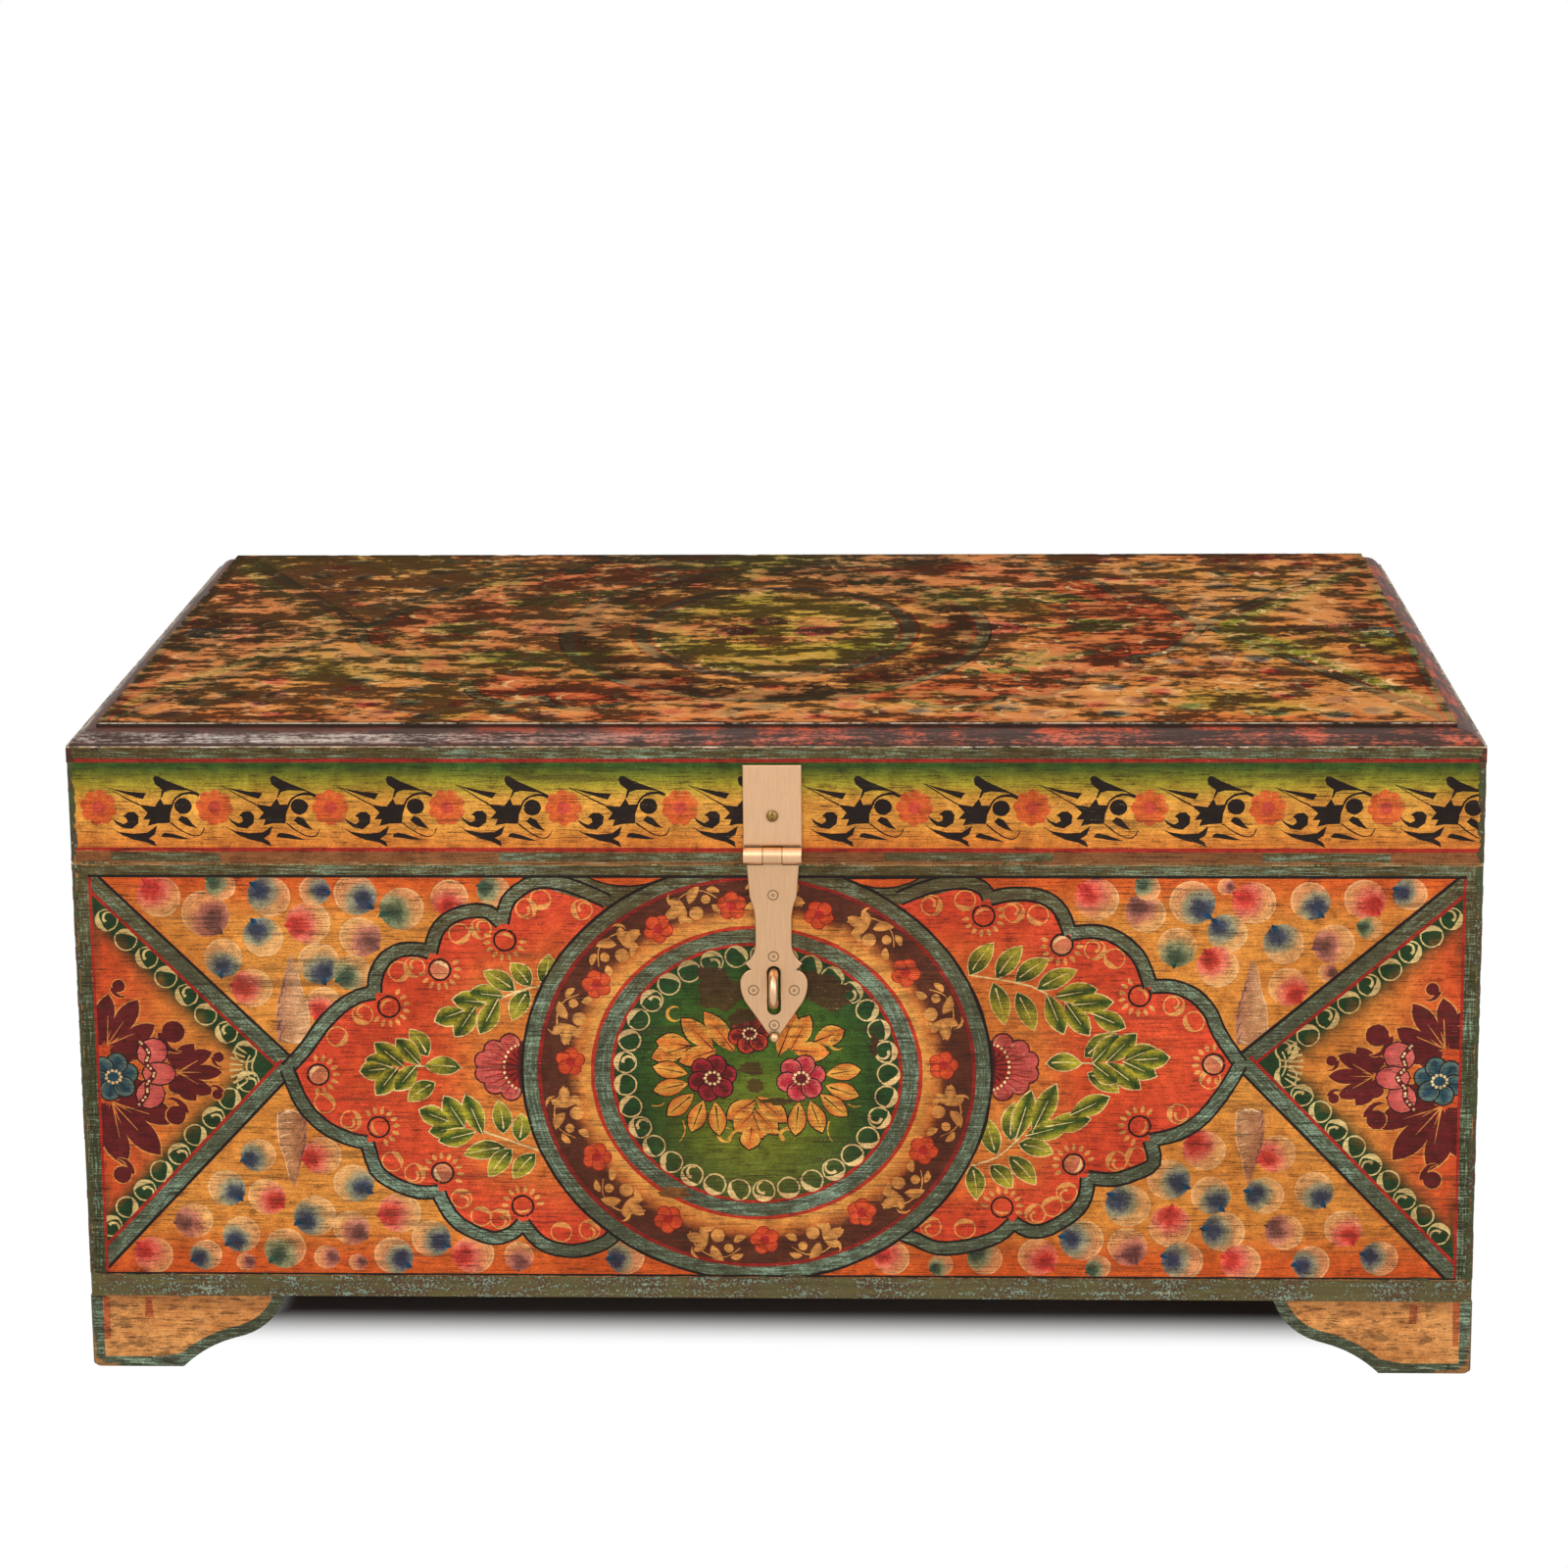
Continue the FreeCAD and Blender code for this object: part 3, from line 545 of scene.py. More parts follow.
def lobed(pen, base, tip, points, wide, paint, rim, second, edge=0.6):
    """One leaf with pointed lobes beside its tip."""
    dx, dy = tip[0] - base[0], tip[1] - base[1]
    run = dx * dx + dy * dy
    ways = []
    for p in points + (tip,):
        t = max(0.0, ((p[0] - base[0]) * dx + (p[1] - base[1]) * dy) / run - 0.42)
        ways.append(((base[0] + dx * t, base[1] + dy * t), p))
    for grow, tint in ((edge, rim), (0.0, paint)):
        for root, p in ways:
            out = grow * 1.5 / math.hypot(p[0] - root[0], p[1] - root[1])
            end = (p[0] + (p[0] - root[0]) * out, p[1] + (p[1] - root[1]) * out)
            pen.leaf(root, end, wide + 2 * grow, tint, second=None if grow else second, full=1.1)
    for root, p in ways:
        pen.line([root, ((root[0] + p[0] * 2) / 3, (root[1] + p[1] * 2) / 3)], 0.7, 0.25, rim)


def sprig(pen, col, shape):
    """A stem with oval leaves beside it and a lobed leaf at its end."""
    stem, leaves, (base, tip, points) = shape
    dark, pale, rim = col["leaf"], col["lime"], blend(col["cream"], col["lime"], 0.2)
    pen.line(flowing(stem), 0.9, 1.1, rim)
    for x, y, tip_x, tip_y in leaves:
        pen.leaf((x, y), (tip_x, tip_y), 10.2, dark, second=pale, rim=rim, edge=0.45, rib=rim, bend=0.8,
                 full=0.95, kind=PLAIN)
    lobed(pen, base, tip, points, 11.0, dark, rim, pale, edge=0.5)


def half_flower(pen, col):
    """A scalloped half flower that opens along minus x, with a dotted band at its flat side."""
    rosy = blend(col["pink"], col["red"], 0.45)
    deep, dark = blend(col["red"], col["maroon"], 0.35), blend(col["maroon"], col["ink"], 0.4)

    def fan(count):
        return [math.pi / 2 + math.pi * (i + 0.5) / count for i in range(count)]

    for grow, tint, second in ((1.0, dark, None), (0.0, rosy, blend(col["pink"], col["cream"], 0.15))):
        for a in fan(6):
            pen.dot(*polar(a, 19.5, 14.0), 5.2 + grow, tint, second=second)
        pen.shape(oval(1, 0, 19.5 + grow, 14.0 + grow, 18, math.pi / 2, math.pi), tint)
    for a in fan(12):
        pen.line([polar(a, 10, 9.5), polar(a, 21, 16)], 1.0, 0.35, deep)
    pen.shape(oval(1, 0, 11.0, 12.6, 16, math.pi / 2, math.pi), deep)
    for a in fan(8):
        pen.at(1, 0).line([polar(a, 2, 4), polar(a, 8.5, 9.8)], 0.7, 1.2, dark)
    for x, y in oval(1, 0, 9.6, 12.8, 13, math.pi / 2 + 0.1, math.pi - 0.2):
        pen.dot(x, y, 0.85, col["cream"], count=7)
    pen.line(bow((1.5, 15), (1.5, -15), -1.6, 8), 2.2, 2.2, dark)


def shell_daub(pen, r, pool, col):
    """A translucent shell with a pale rim, a pool of colour at one side and a dark tail along x."""
    wash, cool = col["pool_" + pool], pool in ("blue", "green")
    glow = blend(col["teal_light"], col["lime"], 0.35) if cool else col["pink"]
    middle = blend(blend(wash, col["cream"], 0.25), glow, 0.5)
    pen.shape(oval(0, 0, r, r * 0.97, 22), middle, second=wash, kind=SHELL,
              local=along(pen.to((0, 0)), pen.to((r, 0)), r * pen.scale))
    pen.leaf((r * 0.62, r * 0.05), (r * 1.12, -r * 0.10), r * 0.26, blend(wash, col["ink"], 0.4),
             second=wash, bend=-r * 0.10, full=1.3)


def conch(pen, col, pale):
    """A tall bottle-shaped shell with a pale side, its neck along y."""
    half = ((-25.5, 5.4), (-23.5, 8.6), (-17, 9.2), (-9, 9.0), (-2, 8.2), (3, 6.4), (8, 4.7), (14, 3.8),
            (19, 2.7), (25, 0.5))
    near, far = [(-w * 1.04, y) for y, w in half], [(w * 0.96, y) for y, w in half]
    bright = blend(col["cream"], col["pink"], 0.25)
    dusk = blend(col["mauve"], col["brown"], 0.15 if pale else 0.5)
    pen.shape(near + far[::-1], blend(dusk, bright, 0.25 if pale else 0.1),
              second=blend(bright, dusk, 0.3 if pale else 0.6), cover=0.66,
              local=along(pen.to((-9, 0)), pen.to((9, 0))))
    for y, w in half[1:7]:
        pen.line(bow((-w * 0.9, y - 1), (-w * 0.6, y + 6), 0.8, 5), 1.0, 0.4, dusk)
        pen.line(bow((0, y), (w * 0.8, y + 1.6), -0.9, 5), 0.3, 0.5, bright)
    pen.line(far[1:-1], 0.7, 0.3, bright)
    pen.line([(-7, -22.5), (-1, -25.2), (4, -24.4)], 0.6, 1.5, bright)


def stencil(pen, ink):
    """One stencilled unit of the lid band: a tulip among curls and leaves."""
    tulip = [(-10.7, 6.0), (-5.7, 5.3), (-1.8, 4.8), (1.6, 9.5), (3.1, 5.7), (8.8, 5.7), (6.6, 0.4),
             (6.1, -5.1), (-0.9, -5.1), (-6.6, -6.3), (-5.1, -2.6), (-9.2, -2.5), (-6.1, 1.3)]
    upper_leaf = [(-29.3, 16.9), (-23.6, 15.4), (-14.9, 13.6), (-6.1, 12.5), (-8.3, 9.0), (-13.1, 10.6),
                  (-21.9, 13.9)]
    plume = [(-1.7, 20.6), (-0.6, 22.2), (1.6, 22.0), (5.7, 19.3), (15.8, 15.0), (25.4, 10.6), (16.6, 13.4),
             (7.9, 13.9), (4.2, 12.8), (2.4, 9.6), (1.6, 9.6), (3.0, 14.3), (-0.9, 17.4)]
    drop = [(10.5, -3.5), (12.7, -1.1), (15.8, -2.2), (18.8, -6.2), (21.2, -8.8), (16.6, -7.5), (13.1, -5.7)]
    hook = [(-26.1, -1.1), (-24.5, -4), (-21, -6.9), (-15.8, -7.9), (-11.8, -4.8), (-11.2, -0.4),
            (-13.6, 2.0), (-17.1, 1.9), (-20.1, -0.4), (-18.2, -1.3), (-17.7, -3.5), (-20.1, -4.8),
            (-23.2, -3.5)]
    wing = [(-27.6, -6.6), (-22.8, -9.2), (-14.9, -10.6), (-7, -10.1), (-1.3, -6.2), (-3.1, -11.4),
            (-6.6, -13.6), (-3.5, -15.4), (-2.6, -18.5), (-7.9, -15.8), (-14.9, -14.1), (-21, -11.4)]
    lower_leaf = [(0.4, -12.8), (1.4, -11.0), (3.1, -10.4), (7.9, -11.4), (17.1, -14.8), (11.4, -14.5),
                  (5.3, -13.6)]
    upper_stem = [(7.9, 5.3), (10, 8.8), (14, 11.2), (19.3, 11.8), (23.6, 10.2)]
    lower_stem = [(6.4, -5.0), (12.3, -9.7), (18.4, -12.8), (22.8, -12.3), (25, -8.4)]
    pen.shape(tulip, ink)
    pen.line([(-10.0, 5.8), (-16, 9.0), (-22, 12.8), (-29.3, 16.9)], 0.9, 0.4, ink)
    pen.shape(upper_leaf, ink)
    pen.shape(plume, ink)
    pen.dot(14.0, 4.4, 4.9, ink, tall=0.94, count=16)
    pen.line(flowing(upper_stem), 1.0, 1.7, ink)
    pen.shape(drop, ink)
    pen.line(flowing(lower_stem), 0.8, 0.6, ink)
    for outline in (hook, wing, lower_leaf):
        pen.shape(outline, ink)


def band_flower(pen, col):
    """A soft orange-red flower of the lid band."""
    petal = blend(col["brick"], col["orange"], 0.35)
    pale = blend(col["orange"], col["tan"], 0.25)
    for i in range(8):
        pen.dot(*polar(TAU * i / 8, 6.6), 3.6, petal, second=pale, cover=0.85)
    pen.dot(0, 0, 6.0, petal, second=blend(petal, col["orange"], 0.4), cover=0.85)
    pen.dot(0, 0, 3.6, blend(col["rose"], col["brick"], 0.35), cover=0.9)


def palmette(pen, far, paint, rim, edge=0.7):
    """A fan of pointed lobes from one base, outlined as one leaf, opening along x."""
    pairs = ((1.40, 0.50), (0.98, 0.76), (0.52, 0.92))
    ways = [(side * turn, share) for turn, share in pairs for side in (-1, 1)] + [(0.0, 1.0)]
    for grow, tint in ((edge, rim), (0.0, paint)):
        for turn, share in ways:
            pen.leaf(polar(turn, far * 0.06), polar(turn, far * share + grow * 1.4), far * 0.34 + 2 * grow,
                     tint, full=1.35, count=7, bend=0.05 * far * math.copysign(1, turn) if turn else 0.0)
    for turn in (-0.5, 0.0, 0.5):
        pen.line([(far * 0.05, 0), polar(turn, far * 0.55)], 0.8, 0.25, rim)


def comma(pen, r, paint, rim):
    """A round drop with a curling tail."""
    tail = oval(-r * 0.2, -r * 0.6, r * 1.05, r * 1.25, 8, 2.2, 2.3)
    for grow, tint in ((0.6, rim), (0.0, paint)):
        pen.dot(0, 0, r + grow, tint)
        pen.line(tail, r * 0.9 + 2 * grow, 0.4 + grow, tint)


def ring_scroll(pen, f, gold, deep):
    """Trefoil, drops and leaves on a thin stem, between two flowers of the ring."""
    pen.line(flowing([(-3, f * 14), (4, f * 9), (8, 0), (6.5, f * -9), (0, f * -15)]), 0.9, 0.5, gold)
    for turn, far, wide in ((0.1, 12.5, 6.2), (0.95, 9.5, 5.0), (-0.85, 9.5, 5.0)):
        x, y = polar(f * (math.pi / 2 + turn), far)
        pen.leaf((0.5, f * 3), (0.5 + x, f * 3 + y), wide, gold, second=deep, full=1.3)
    pen.dot(-4.2, f * -1.5, 3.8, gold, second=deep)
    pen.leaf((2, f * 0.5), (9.5, f * -8), 5.6, gold, second=deep, bend=f * 1.2)
    pen.leaf((-6, f * 8), (-8.5, f * 1.5), 3.2, gold, bend=f * 0.8)
    pen.dot(1.5, f * -9.0, 2.6, gold)
    pen.leaf((-2.5, f * -11), (-7.5, f * -16.5), 4.2, gold, bend=f * -0.8)
    pen.leaf((6.5, f * -11), (3, f * -17.5), 3.6, gold, bend=f * 0.8)
    pen.crescent(7.0, f * 7, 4.2, 1.8, 0.4, f * 2.6, gold, count=9)


# Layout of the front in millimetres; side -1 is the left half, 1 the right, and 1 is up

CENTRE = (-10.0, 171.8)
FRONT_RING, FRONT_DISC = (127.0, 118.7), (88.1, 82.0)
TOP_CENTRE = (-6.0, (TOP_BOX[2] + TOP_BOX[3]) / 2)
TOP_RING, TOP_DISC = (127.0, 172.0), (84.0, 118.0)
END_RING, END_DISC = (92.0, 88.0), (62.0, 59.5)
CROSSING = {-1: (-265.6, 175.7), 1: (253.4, 179.3)}
CORNERS = {(-1, 1): (-371.5, 282.6), (-1, -1): (-376.0, 58.0), (1, 1): (375.0, 283.6), (1, -1): (370.0, 56.9)}
LOBES = {
    (1, 1): (
        ((67.7, 271.1), (77.8, 275.5), (91.3, 279.5), (104.7, 280.2), (113.2, 276.4), (116.2, 271.1)),
        ((116.2, 271.1), (125, 273.2), (136.8, 273.6), (147, 271.2), (154.6, 264.2), (159.7, 251.6)),
        ((159.7, 251.6), (170.7, 252.9), (180.9, 251.1), (190.2, 245.4), (197.9, 236.3), (203.1, 221.9)),
        ((203.1, 221.9), (214.9, 221.9), (226.8, 217), (235.4, 207.4), (240.3, 195.9), (251.9, 178))),
    (1, -1): (
        ((66.9, 80.3), (76.3, 76.8), (88.3, 71.8), (105.3, 73.2), (120.7, 78.6), (129.6, 86.7)),
        ((129.6, 86.7), (137.8, 82.2), (146.3, 82.3), (156.5, 87.6), (165, 94.8), (169.2, 103.7), (170, 113)),
        ((170, 113), (183.7, 111.8), (195.6, 115.3), (205.7, 121.6), (203.6, 134.5)),
        ((203.6, 134.5), (219.2, 138.5), (232.7, 148.2), (244.4, 164.2), (251.9, 178))),
    (-1, 1): (
        ((-89.5, 269.2), (-94.5, 271.8), (-111.3, 278.7), (-126.5, 280.4), (-135, 277), (-143.5, 269.1),
         (-147.1, 256.9)),
        ((-147.1, 256.9), (-153.7, 263), (-163.9, 263.8), (-175.7, 259.5), (-182.6, 251.6), (-186.2, 240.2)),
        ((-186.2, 240.2), (-191.3, 241.9), (-201.4, 241.9), (-210.8, 236.7), (-216.1, 227), (-217.1, 217.4)),
        ((-217.1, 217.4), (-225.6, 215.6), (-235.9, 209.4), (-246.3, 198.8), (-255, 186.5), (-266.4, 173.8))),
    (-1, -1): (
        ((-88, 80.1), (-94.9, 73.8), (-108.6, 69.4), (-120.6, 70.2), (-130.8, 74.7), (-139.2, 85.4)),
        ((-139.2, 85.4), (-144.4, 80), (-154.7, 76.4), (-166.6, 80), (-176.8, 87.1), (-183.4, 97.9),
         (-185.1, 103.2)),
        ((-185.1, 103.2), (-197, 103.2), (-208.9, 107.6), (-219, 115.6), (-223.8, 131.6)),
        ((-223.8, 131.6), (-232.3, 133.4), (-244.1, 138.7), (-254.2, 147.6), (-260.7, 158.2),
         (-266.4, 173.8))),
}
BERRIES = {
    1: ((113.2, 261.5), (155.2, 245.3), (197.2, 216.6), (237.5, 178), (197.9, 142.5), (162.3, 120.6),
        (123.5, 95.6)),
    -1: ((-145.5, 247.3), (-181.3, 230.6), (-209.6, 209.5), (-249.4, 170.6), (-217.2, 140.5),
         (-182.7, 114.3), (-139.1, 95.2)),
}
HALF_FLOWERS = {1: (118.6, 176.0), -1: (-139.0, 175.2)}
SPRIG_BASES = {
    1: ((104.9, 228.3), (146.6, 178.2), (106.9, 119.7)),
    -1: ((-124.7, 221.9), (-170, 174.8), (-126.7, 126.4)),
}

# Each sprig from its base: points of its stem; base and tip of each leaf; base, tip and lobes of its end leaf
SPRIGS = {
    1: (
        (((0, 0), (33.9, -6.3), (49, -16)),
         ((0.8, 0, 13.5, 17.9), (15.2, -1.8, 28.8, 16.1), (25.4, -3.6, 43.2, 9), (37.2, -8, 58.4, 2.7),
          (13.5, -4.5, 19.5, -27.8), (26.2, -9.9, 35.6, -31.4)),
         ((42.3, -10.8), (84.7, -29.6), ((69.4, -8), (77.9, -15.2), (65.2, -34), (51.6, -33.2)))),
        (((0, 0), (12, 0.5), (28, 0)),
         ((0.8, 0, 19.5, 0), (21.2, 3.6, 38.1, 17), (22.9, -5.4, 39.8, -16.1)),
         ((25.4, 0), (66.9, 3.6), ((39.8, 16), (49, 17), (59.3, 9), (60, -7.2), (51.6, -14.4), (39, -10.8)))),
        (((0, 0), (14, 5), (26, 16)),
         ((0, 0, 2.5, -19.7), (10, 0, 22, -12.6), (20.3, 5.4, 34.7, -10.8), (25.4, 12.6, 44, 7.2),
          (13.5, 6.3, 8.5, 26.9), (21.2, 14.4, 22.9, 35.9)),
         ((23.7, 14.4), (74.5, 39.5), ((32.2, 43), (45.7, 46.6), (64.3, 26.9), (52.5, 23.3)))),
    ),
    -1: (
        (((0, 0), (12, -2.7), (25, -8)),
         ((0.8, 0.5, -3, 17.3), (7.6, -0.5, 17.8, 12.5), (16.1, -3, 32.7, 7.7), (8.5, -3, 17.8, -19.6)),
         ((22, -6.2), (59.9, -20.5), ((50, -8.4), (40.7, -4.3), (49.2, -29.4), (35.6, -27.6)))),
        (((0, 0), (12, 0.5), (26, 1)),
         ((1.2, 0, 20.7, 0.9), (19, 6.6, 28.4, 21.7), (15.6, -8.5, 30.5, -19)),
         ((23.2, 1.6), (56.3, -2.3), ((36, 16.4), (47.8, 14), (53, 4.8), (47.8, -15.7), (37.6, -13)))),
        (((0, 0), (15, 5.3), (35, 12.5)),
         ((22, 10.7, 24.6, 29.4), (13.6, 6.2, 11.9, 22.2), (21.2, 2.7, 44, -1.8), (17.8, 1.8, 30.5, -14.2),
          (5, -0.9, 17, -15)),
         ((30.5, 8.9), (67.8, 24), ((62.7, 11.6), (54.2, 32), (42.4, 33), (57.6, 6.2)))),
    ),
}
END_FLOWERS = {-1: (-362.0, 169.0), 1: (359.3, 168.7)}
RING_TURNS = (3, 37, 70, 97, 121, 148, 176, 210, 241, 272, 304, 333)

# Tall shells: place, turn and size; worn spots: place and half sizes; lenses: both ends and fall
CONCHS = ((-262, 214, 0.0, 1.0), (258, 213, 0.0, 0.95), (-265, 128, math.pi, 0.88),
          (257.5, 131, math.pi, 0.86))
WORN_SPOTS = ((-28, 219, 15, 13), (-36, 229, 8, 5), (27, 219, 15, 9), (33, 212, 9, 5), (-18, 204, 9, 5),
              (-13, 174.6, 8, 4.5), (-10.6, 165.4, 6, 4), (0.8, 156, 9, 2.2), (53.8, 188, 3, 8),
              (-55.6, 103, 10, 3.6), (19, 226, 9, 5))
LENSES = ((-100.6, 283.4, -56.8, 283.6, -10.5), (41.3, 281.8, 77.2, 282.0, -9.0))

# Shell daubs: place, radius, pool and turn
POOLS = ("blue", "red", "blue", "brown", "red", "green")
DAUBS = (
    (-333, 272, 12.1, "red", 2.4), (-308, 262, 13.3, "brown", -0.8), (-273, 272, 11.8, "blue", 2.6),
    (-299, 278, 8.3, "green", 2.8), (-277, 249, 11.3, "blue", 2.2), (-299, 237, 10.9, "blue", -1.6),
    (-284, 220, 11.3, "red", 3.1), (-252, 257, 12.2, "red", -2.9), (-247, 234, 11.9, "blue", -1.2),
    (-248, 275, 8.5, "blue", 0), (-226, 273, 11.9, "blue", -0.6), (-201, 265, 12.2, "green", -2.7),
    (-175, 271, 10.5, "red", -1.8), (-151, 275, 9, "green", 2.9), (-224, 249, 11.5, "brown", -0.5),
    (-229, 229, 10.2, "green", -2.5), (-245, 211, 9.8, "red", -2),
    (-284, 124, 9.8, "blue", -2.7), (-302, 105, 10.6, "blue", -0.6), (-280, 100, 10.6, "red", -0.5),
    (-321, 86, 10.6, "brown", -2.9), (-295, 78, 10.6, "blue", -2.4), (-344, 66, 10.9, "red", 2.6),
    (-315, 66, 9, "blue", -2.6), (-271, 70, 11.8, "green", -2.3), (-293, 62, 5.4, "brown", 0),
    (-254, 89, 11.9, "blue", -2.6), (-249, 124, 11, "red", -2.8), (-232, 108, 11.2, "blue", -0.4),
    (-207, 91, 11.9, "red", -2.9), (-234, 82, 10.2, "brown", -0.5), (-190, 76, 11, "blue", -0.3),
    (-211, 66, 11, "blue", -0.5), (-167, 67, 11.5, "red", -2.9), (-142, 66, 8.5, "brown", -1.5),
    (-83, 66, 10.5, "blue", -2.9), (-248, 65, 7.1, "brown", 0), (-231, 62, 5.1, "brown", 0),
    (174, 271, 11.9, "red", 2.6), (200, 263, 11, "brown", 2.4), (225, 269, 12.5, "blue", -0.6),
    (201, 277, 7.1, "green", 2.6), (258, 269, 11.9, "red", 2.8), (244, 252, 11, "blue", 2.5),
    (217, 244, 11, "green", -1.6), (239, 233, 11.5, "red", 2.3), (243, 278, 4.7, "brown", 0),
    (288, 270, 10.9, "blue", -0.8), (317, 271, 11.3, "red", -0.7), (341, 274, 9.3, "blue", 2.9),
    (274, 246, 11.3, "blue", 2.2), (301, 246, 11.3, "brown", -2.8), (320, 255, 6.8, "green", 3),
    (277, 222, 10.9, "red", -0.8), (298, 230, 5.3, "brown", 0),
    (233, 129, 11.9, "red", 2.5), (214, 112, 11.9, "blue", -0.3), (192, 97, 12.5, "blue", 2.7),
    (237, 103, 11, "blue", -0.8), (215, 85, 11.9, "red", 1.6), (244, 82, 11.9, "blue", 3.1),
    (167, 77, 12, "blue", 3.1), (192, 73, 11, "brown", -1), (222, 65, 11.5, "blue", 3),
    (254, 64, 11, "red", 2.9), (143, 67, 11, "red", -0.6), (114, 66, 9.8, "green", 2.7),
    (90, 62, 6.8, "green", -2.5), (63, 66, 10, "red", 2.8), (176, 61, 7, "green", -2.6),
    (266, 103, 10.9, "blue", 3), (272, 127, 10.9, "red", -2.6), (293, 106, 10.9, "blue", -0.9),
    (277, 82, 10.6, "brown", 2.9), (309, 84, 10.6, "red", -0.9), (292, 64, 10.2, "blue", -2.9),
    (329, 67, 10.3, "blue", 3),
)


# Fields and bands

def rim_band(c, col, box, wide, line=1.6):
    """Teal frame at the top and sides of a panel, with ink and red lines inside it."""
    left, right, low, high = box
    top = high - wide * 0.85

    def bar(x0, x1, y0, y1):
        return rectangle(max(left, x0), min(right, x1), max(low, y0), min(high, y1))

    c.lay(bar(left, right, low, low + line), col["ink"], wobble=0)
    for x in (left + wide, right - wide - line):
        c.lay(bar(x, x + line, low + line, high - wide), col["red"], wobble=0)
    c.lay(bar(left, right, top - line, high), col["ink"], wobble=0)
    c.band(bar(left, right, top, high), col, (left, top), (right, top), "olive", wobble=0)
    for x in (left, right - wide):
        c.band(bar(x, x + wide, low, high), col, (x, low), (x, high), "olive", wobble=0)


def strap(c, col, a, b, inner=None):
    """A straight teal strap with ink edges and a red line on one side."""
    wide = size("strap")
    c.lay(ribbon([a, b], wide + 3.4), col["ink"])
    if inner:
        dx, dy = b[0] - a[0], b[1] - a[1]
        off = inner * (wide / 2 + 0.9) / math.hypot(dx, dy)
        c.lay(ribbon([(p[0] - dy * off, p[1] + dx * off) for p in (a, b)], 1.9), col["red"])
    c.band(ribbon([a, b], wide), col, a, b)


def lobed_line(c, col, runs):
    """A curved teal band with ink edges."""
    wide = size("lobe")
    for run in runs:
        c.lay(ribbon(run, wide + 2.6), col["ink"])
    for run in runs:
        c.band(ribbon(run, wide), col, run[0], run[-1])


def curl_chain(c, col, s, corner, cross, turn):
    """Cream curls along the inner side of a strap."""
    r = size("curl")
    pale = blend(blend(col["cream"], col["lime"], 0.3), col["dark_green"], 0.12)
    dx, dy = cross[0] - corner[0], cross[1] - corner[1]
    far = math.hypot(dx, dy)
    nx, ny = normal(corner, cross, (0, -turn))
    lean = math.atan2(ny, -s * nx)
    count = max(5, int((far - 44) / (r * 1.86)))
    for i in range(count):
        t = (24 + (far - 46) * i / (count - 1)) / far
        off = 10.6 + (0.4 if i % 2 else -0.4)
        x, y = corner[0] + dx * t + nx * off, corner[1] + dy * t + ny * off
        curl(Pen(c, x, y, lean + (0.6 if i % 2 else 2.7), r, s > 0), pale, i % 2 == 0)


def end_field(c, col, s, spot, up, cross, down):
    """Flower, palmettes and curl chains of the field between two straps."""
    curl_chain(c, col, s, up, cross, 1)
    curl_chain(c, col, s, down, cross, -1)
    pale = blend(blend(col["cream"], col["lime"], 0.3), col["dark_green"], 0.12)
    apex = Pen(c, cross[0] + s * 11, cross[1] - 1, math.pi, 1, s > 0)
    for r in (9.0, 12.0):
        apex.line(oval(0, 0, r, r, 9, -0.62, 1.24), 0.9, 0.9, pale)
    for i in range(8):
        a = -0.60 + 1.2 * i / 7
        apex.line([polar(a, 14), polar(a, 21.5)], 0.7, 1.6, pale)
    pen = Pen(c, spot[0], spot[1], 0, 1, s > 0)
    maroon, gold = col["maroon"], blend(col["ochre"], col["tan"], 0.3)
    for x, y, turn, far in ((34, 2.7, 0.0, 26), (-3.5, 17, 0.96, 33), (-2.7, -13, -0.87, 42)):
        palmette(pen.at(x, y, turn), far, maroon, gold)
    for x, y, r, turn in ((33.9, 25.9, 6.4, 0.6), (33.5, -22, 5.5, -2.4), (58.3, 11.5, 3.0, 0.5),
                          (56.8, -10, 3.0, -2.2), (2.6, -56.4, 5.0, -2.6), (5, 52, 3.6, 0.8)):
        comma(pen.at(x, y, turn), r, maroon, gold)
    rosy = blend(col["pink"], col["rose"], 0.45)
    for x, y, wide, tall, turn in ((21.9, 14.2, 8.5, 7.5, 0.5), (19.9, -10, 7.6, 8.0, -0.5),
                                   (25.2, 1.9, 9.0, 6.4, 0.0)):
        pen.at(x, y, turn).dot(0, 0, wide, col["pink"], second=rosy, tall=tall / wide, rim=col["ink"],
                               edge=0.8)
    dotted = flowing([(15.5, 20), (20, 14), (18.5, 8), (22.5, 2), (18.5, -4), (18, -10), (13.5, -16)], 4)
    pen.line(dotted, 3.0, 3.0, maroon)
    for p in dotted[::3] + dotted[1::3]:
        pen.dot(*p, 0.8, col["cream"], count=7)
    blossom(pen, 13.6, col["blue"], blend(col["blue"], col["teal_light"], 0.35), col, "blue", 11)


